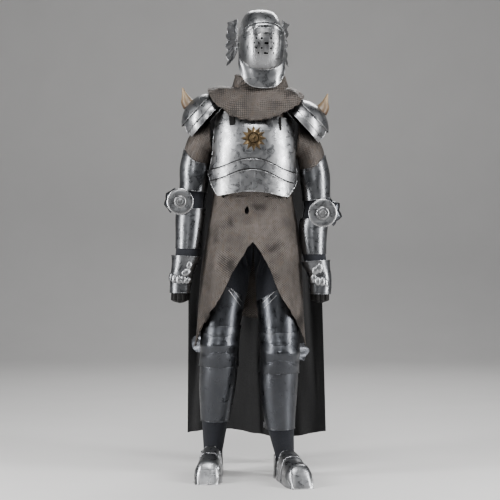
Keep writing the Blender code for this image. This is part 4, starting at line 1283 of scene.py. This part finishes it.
class ARMOUR_OT_horns(Build, bpy.types.Operator):
    """Ridge and colour the shoulder horns"""

    bl_idname = "armour.horns"
    bl_label = "Horns"

    def make(self):
        for side in SIDES:
            obj = refine(copy_of("horn_" + side), 3, HORN_SHARP_TURN)
            low = min(v.co.z for v in obj.data.vertices)
            high = max(v.co.z for v in obj.data.vertices)
            foot = [v.co for v in obj.data.vertices if v.co.z < low + HORN_FOOT * (high - low)]
            middle = sum(foot, Vector()) / len(foot)
            cap = tree_of(*form("pauldron_cap_" + side))

            def curve(place, low=low, high=high, middle=middle, sign=SIDES[side]):
                share = (place.z - low) / (high - low)
                spread = HORN_SPREAD * (1 - share) ** 2
                bend = HORN_BEND * math.sin(math.pi * share) - HORN_LEAN * share
                aside = place.x - middle.x
                wide = Vector((aside * spread * (HORN_INNER if aside * sign < 0 else HORN_OUTER), 0, 0))
                return wide + Vector((-sign * bend, (place.y - middle.y) * spread * HORN_ALONG, 0))

            shift(obj, curve)
            for vert in obj.data.vertices:
                near, normal, _, distance = cap.find_nearest(vert.co)
                if (vert.co - near).dot(normal) < HORN_GAP:
                    vert.co = near + normal * HORN_GAP
            values = obj.data.attributes.new("wear", "FLOAT", "POINT")
            for vert in obj.data.vertices:
                values.data[vert.index].value = (vert.co.z - low) / (high - low)
            only(obj)
            bpy.ops.object.shade_smooth_by_angle(angle=math.radians(HORN_SMOOTH))
            settle(obj, finish_named("horn"), "suit", ("horn_" + side,))


def upper_edge(obj):
    """Corners of the rims that have no other rim above them."""
    bm = rim_edges(obj)
    places = [v.co.copy() for v in bm.verts]
    bm.free()

    def covered(place):
        return any(abs(q.x - place.x) < EDGE_ACROSS and q.z > place.z + EDGE_DROP for q in places)

    return [place for place in places if not covered(place)]


class ARMOUR_OT_lame_shadow(Build, bpy.types.Operator):
    """Lay painted shadow over the waist lames: a thin wire in the black leather finish above each lame's
    upper edge, where the shadow gap falls
    """

    bl_idname = "armour.edging"
    bl_label = "Lame shadow"

    def make(self):
        tree = tree_of(*form("breastplate", "waist_lame_upper", "waist_lame_lower"))
        for name in ("waist_lame_upper", "waist_lame_lower"):
            edge = sorted(upper_edge(form(name)[0]), key=lambda p: p.x)
            line = []
            for place in edge:
                above = place + Vector((0, 0, SHADOW_LINE_RISE))
                if line and above.x - line[-1][0].x < SHADOW_LINE_GAP:
                    continue
                found, normal, _, _ = tree.ray_cast(above + Vector((0, -IN_FRONT, 0)), Vector((0, 1, 0)))
                if found:
                    line.append((found, normal))
            # painted shadow: the black leather finish stands for the shadow gap above each lame
            settle(laid_wire(name + "_painted_shadow", line, SHADOW_LINE_RADIUS), finish_named("leather"))


class ARMOUR_OT_lines(Build, bpy.types.Operator):
    """Lay the ridges, edges and lame lines that run across the plates"""

    bl_idname = "armour.lines"
    bl_label = "Lines"

    def make(self):
        for name, node, (finish, slot), radius, pixels in LINES:
            wire = laid_wire(name, pixel_line(tree_of(*form(node)), pixels), radius)
            settle(wire, finish_named(finish))
        for name, nodes, (finish, slot), thick, quad in PATCHES:
            settle(laid_patch(name, tree_of(*form(*nodes)), quad, thick), finish_named(finish))


class ARMOUR_OT_rivets(Build, bpy.types.Operator):
    """Set the rivets of the plates"""

    bl_idname = "armour.rivets"
    bl_label = "Rivets"

    def make(self):
        steel = settings()[0]
        for name, nodes, body, share, pixels in RIVETS:
            tree = tree_of(*form(*nodes))
            heads = studs(name, [through_pixel(tree, *pixel) for pixel in pixels], steel.rivet * share)
            settle(heads, finish_named("bright"), body)


class ARMOUR_OT_elbow_wings(Build, bpy.types.Operator):
    """Make the fluted wings beside the elbow discs"""

    bl_idname = "armour.elbow_wings"
    bl_label = "Elbow wings"

    def make(self):
        for side, sign in SIDES.items():
            disc = form("couter_disc_" + side)[0]
            places = [v.co for v in disc.data.vertices]
            middle = sum(places, Vector()) / len(places)
            radius = max((p - middle).xz.length for p in places)
            reach = ELBOW_WING_REACH[side]
            bm = bmesh.new()
            rows = []
            for i in range(WING_RIBS * WING_STEPS + 1):
                share = i / (WING_RIBS * WING_STEPS)
                angle = math.radians(WING_START + WING_TURN * share)
                ridge = math.cos(2 * math.pi * WING_RIBS * share)
                span = reach * (0.72 + 0.28 * ridge) * math.sin(math.pi * (0.15 + 0.7 * share))
                row = []
                for j in range(WING_STEPS + 1):
                    out = j / WING_STEPS
                    far = radius * WING_ROOT + out * (radius * (1 - WING_ROOT) + span)
                    deep = WING_DEPTH + WING_SWEEP * out * out - WING_FLUTE * ridge * out
                    place = Vector((sign * far * math.cos(angle), deep, far * math.sin(angle)))
                    row.append(bm.verts.new(middle + place))
                rows.append(row)
            for a, b in zip(rows, rows[1:]):
                for j in range(WING_STEPS):
                    face = (a[j], b[j], b[j + 1], a[j + 1])
                    bm.faces.new(face if sign > 0 else face[::-1])
            obj = new_piece("elbow_wing_" + side, bm)
            solid = obj.modifiers.new("thick", "SOLIDIFY")
            solid.thickness = WING_THICK
            apply_all(obj)
            mark_wear(obj, WING_WEAR)
            settle(obj, finish_named("dark"))


class ARMOUR_OT_straps(Build, bpy.types.Operator):
    """Buckle the strap behind the left shin"""

    bl_idname = "armour.straps"
    bl_label = "Straps"

    def make(self):
        for name, nodes, middle, start, end, height, width in STRAPS:
            tree = tree_of(*form(*nodes))
            middle = Vector((*middle, height))
            settle(belt(name, tree, middle, start, end, height, width), finish_named("leather"))
            out = Vector((math.cos(math.radians(end)), -math.sin(math.radians(end)), 0))
            place, normal, _, _ = tree.ray_cast(middle + out * LIMB_REACH, -out)
            across = normal.cross(Vector((0, 0, 1))).normalized()
            bm = bmesh.new()
            over = place + normal * BUCKLE_LIFT
            corners = [
                bm.verts.new(over + across * a + Vector((0, 0, b * width * BUCKLE_HEIGHT)))
                for a, b in ((-BUCKLE_HALF, -1), (BUCKLE_HALF, -1), (BUCKLE_HALF, 1), (-BUCKLE_HALF, 1))
            ]
            for a, b in zip(corners, corners[1:] + corners[:1]):
                bm.edges.new((a, b))
            over = place + normal * TONGUE_LIFT
            bm.edges.new([bm.verts.new(over + across * a) for a in (-TONGUE_HALF, TONGUE_HALF)])
            settle(wire_of(bm, name + "_buckle", BUCKLE_WIRE), finish_named("bright"))


class ARMOUR_OT_gloves(Build, bpy.types.Operator):
    """Shape the gloves"""

    bl_idname = "armour.gloves"
    bl_label = "Gloves"

    def make(self):
        for side in SIDES:
            obj = refine(copy_of("glove_" + side), 3)
            middle = sum((v.co for v in obj.data.vertices), Vector()) / len(obj.data.vertices)

            def fingers(place, middle=middle):
                low = max(0.0, min(1.0, (GLOVE_KNUCKLES - place.z) / FINGER_FADE))
                away = Vector((place.x - middle.x, place.y - middle.y, 0)).normalized()
                groove = abs(math.sin(math.pi * FINGERS * (place.x - middle.x) / FIST_WIDTH)) ** 0.6
                return away * (-FINGER_GROOVE * low * (1 - groove))

            shift(obj, fingers)
            settle(obj, finish_named("leather"), "suit", ("glove_" + side,))
        for name, nodes, lobes in LOBES:
            tree = tree_of(*form(*nodes))
            bm = bmesh.new()
            for px, py, width, length, rise, turn in lobes:
                place, normal = through_pixel(tree, px, py)
                lie = normal.to_track_quat("Z", "Y").to_matrix().to_4x4()
                lie @= Matrix.Rotation(math.radians(turn), 4, "Z")
                lie @= Matrix.Diagonal((width / 2, length / 2, rise, 1))
                bmesh.ops.create_uvsphere(
                    bm, u_segments=LOBE_SEGMENTS, v_segments=LOBE_RINGS, radius=1.0,
                    matrix=Matrix.Translation(place) @ lie,
                )
            obj = new_piece(name, bm)
            mark_wear(obj)
            settle(obj, finish_named("bright"))


class ARMOUR_OT_stage(Build, bpy.types.Operator):
    """Lay the floor and set the camera and lights"""

    bl_idname = "armour.stage"
    bl_label = "Stage"

    def make(self):
        studio = settings()[3]
        bpy.ops.object.select_all(action="DESELECT")
        bpy.ops.mesh.primitive_grid_add(x_subdivisions=1, y_subdivisions=STAGE_ROWS, size=1)
        floor = bpy.context.view_layer.objects.active
        floor.name = "floor"
        for vert in floor.data.vertices:
            run = (vert.co.y + 0.5) * STAGE_RUN
            turn = max(0.0, min(math.pi / 2, (run - STAGE_FLAT) / STAGE_BEND))
            rise = max(0.0, run - STAGE_FLAT - STAGE_BEND * math.pi / 2)
            along = min(run, STAGE_FLAT) + STAGE_BEND * math.sin(turn)
            height = FLOOR + STAGE_BEND * (1 - math.cos(turn)) + rise
            vert.co = (vert.co.x * STAGE_WIDTH, along - STAGE_FRONT, height)
        only(floor)
        bpy.ops.object.shade_smooth()
        paint = Nodes("studio floor", studio.floor, 0.0, 0.85)
        grain = paint.noise(paint.place(), 3.0, 4.0)
        floor.data.materials.append(
            paint.finish(paint.blend(paint.span(grain, 0.3, 0.7), shade(studio.floor, 0.97), studio.floor))
        )

        camera_data = bpy.data.cameras.new("camera")
        camera_data.sensor_width = SENSOR
        camera_data.lens = SENSOR * FOCAL_PIXELS / FRAME_PIXELS
        camera_data.clip_end = VIEW_END
        camera = bpy.data.objects.new("camera", camera_data)
        camera.location = CAMERA_PLACE
        camera.rotation_euler = (math.pi / 2 - CAMERA_DROP, 0, 0)
        bpy.context.collection.objects.link(camera)
        bpy.context.scene.camera = camera

        for name, place, width, height, share in LIGHTS:
            light = bpy.data.lights.new(name, "AREA")
            light.shape = "RECTANGLE"
            light.size = width
            light.size_y = height
            light.energy = share * studio.key
            lamp = bpy.data.objects.new(name, light)
            lamp.location = place
            lamp.rotation_euler = (LIGHT_AIM - lamp.location).to_track_quat("-Z", "Y").to_euler()
            bpy.context.collection.objects.link(lamp)

        world = bpy.context.scene.world or bpy.data.worlds.new("studio")
        bpy.context.scene.world = world
        world.use_nodes = True
        background = world.node_tree.nodes["Background"]
        background.inputs["Color"].default_value = SKY
        background.inputs["Strength"].default_value = SKY_STRENGTH


OPERATORS = (
    ARMOUR_OT_plates, ARMOUR_OT_badge, ARMOUR_OT_mail, ARMOUR_OT_cloth, ARMOUR_OT_horns, ARMOUR_OT_gloves,
    ARMOUR_OT_lame_shadow, ARMOUR_OT_lines, ARMOUR_OT_rivets, ARMOUR_OT_elbow_wings, ARMOUR_OT_straps,
    ARMOUR_OT_stage,
)
GROUPS = {
    "armour_steel": ARMOUR_PG_steel,
    "armour_mail": ARMOUR_PG_mail,
    "armour_cloth": ARMOUR_PG_cloth,
    "armour_studio": ARMOUR_PG_studio,
}


class ARMOUR_PT_panel(bpy.types.Panel):
    bl_label = "Plate armour"
    bl_idname = "ARMOUR_PT_panel"
    bl_space_type = "VIEW_3D"
    bl_region_type = "UI"
    bl_category = "Armour"

    def draw(self, context):
        for name, group in GROUPS.items():
            box = self.layout.box()
            for key in group.__annotations__:
                box.prop(getattr(context.scene, name), key)
        for operator in OPERATORS:
            self.layout.operator(operator.bl_idname)


def register():
    for cls in (*GROUPS.values(), *OPERATORS, ARMOUR_PT_panel):
        bpy.utils.register_class(cls)
    for name, group in GROUPS.items():
        setattr(bpy.types.Scene, name, PointerProperty(type=group))


def unregister():
    for name in GROUPS:
        delattr(bpy.types.Scene, name)
    for cls in reversed((*GROUPS.values(), *OPERATORS, ARMOUR_PT_panel)):
        bpy.utils.unregister_class(cls)


def main():
    register()
    noise.seed_set(DENT_SEED)
    for operator in OPERATORS:
        getattr(bpy.ops.armour, operator.bl_idname.split(".")[1])()


if __name__ == "__main__":
    main()
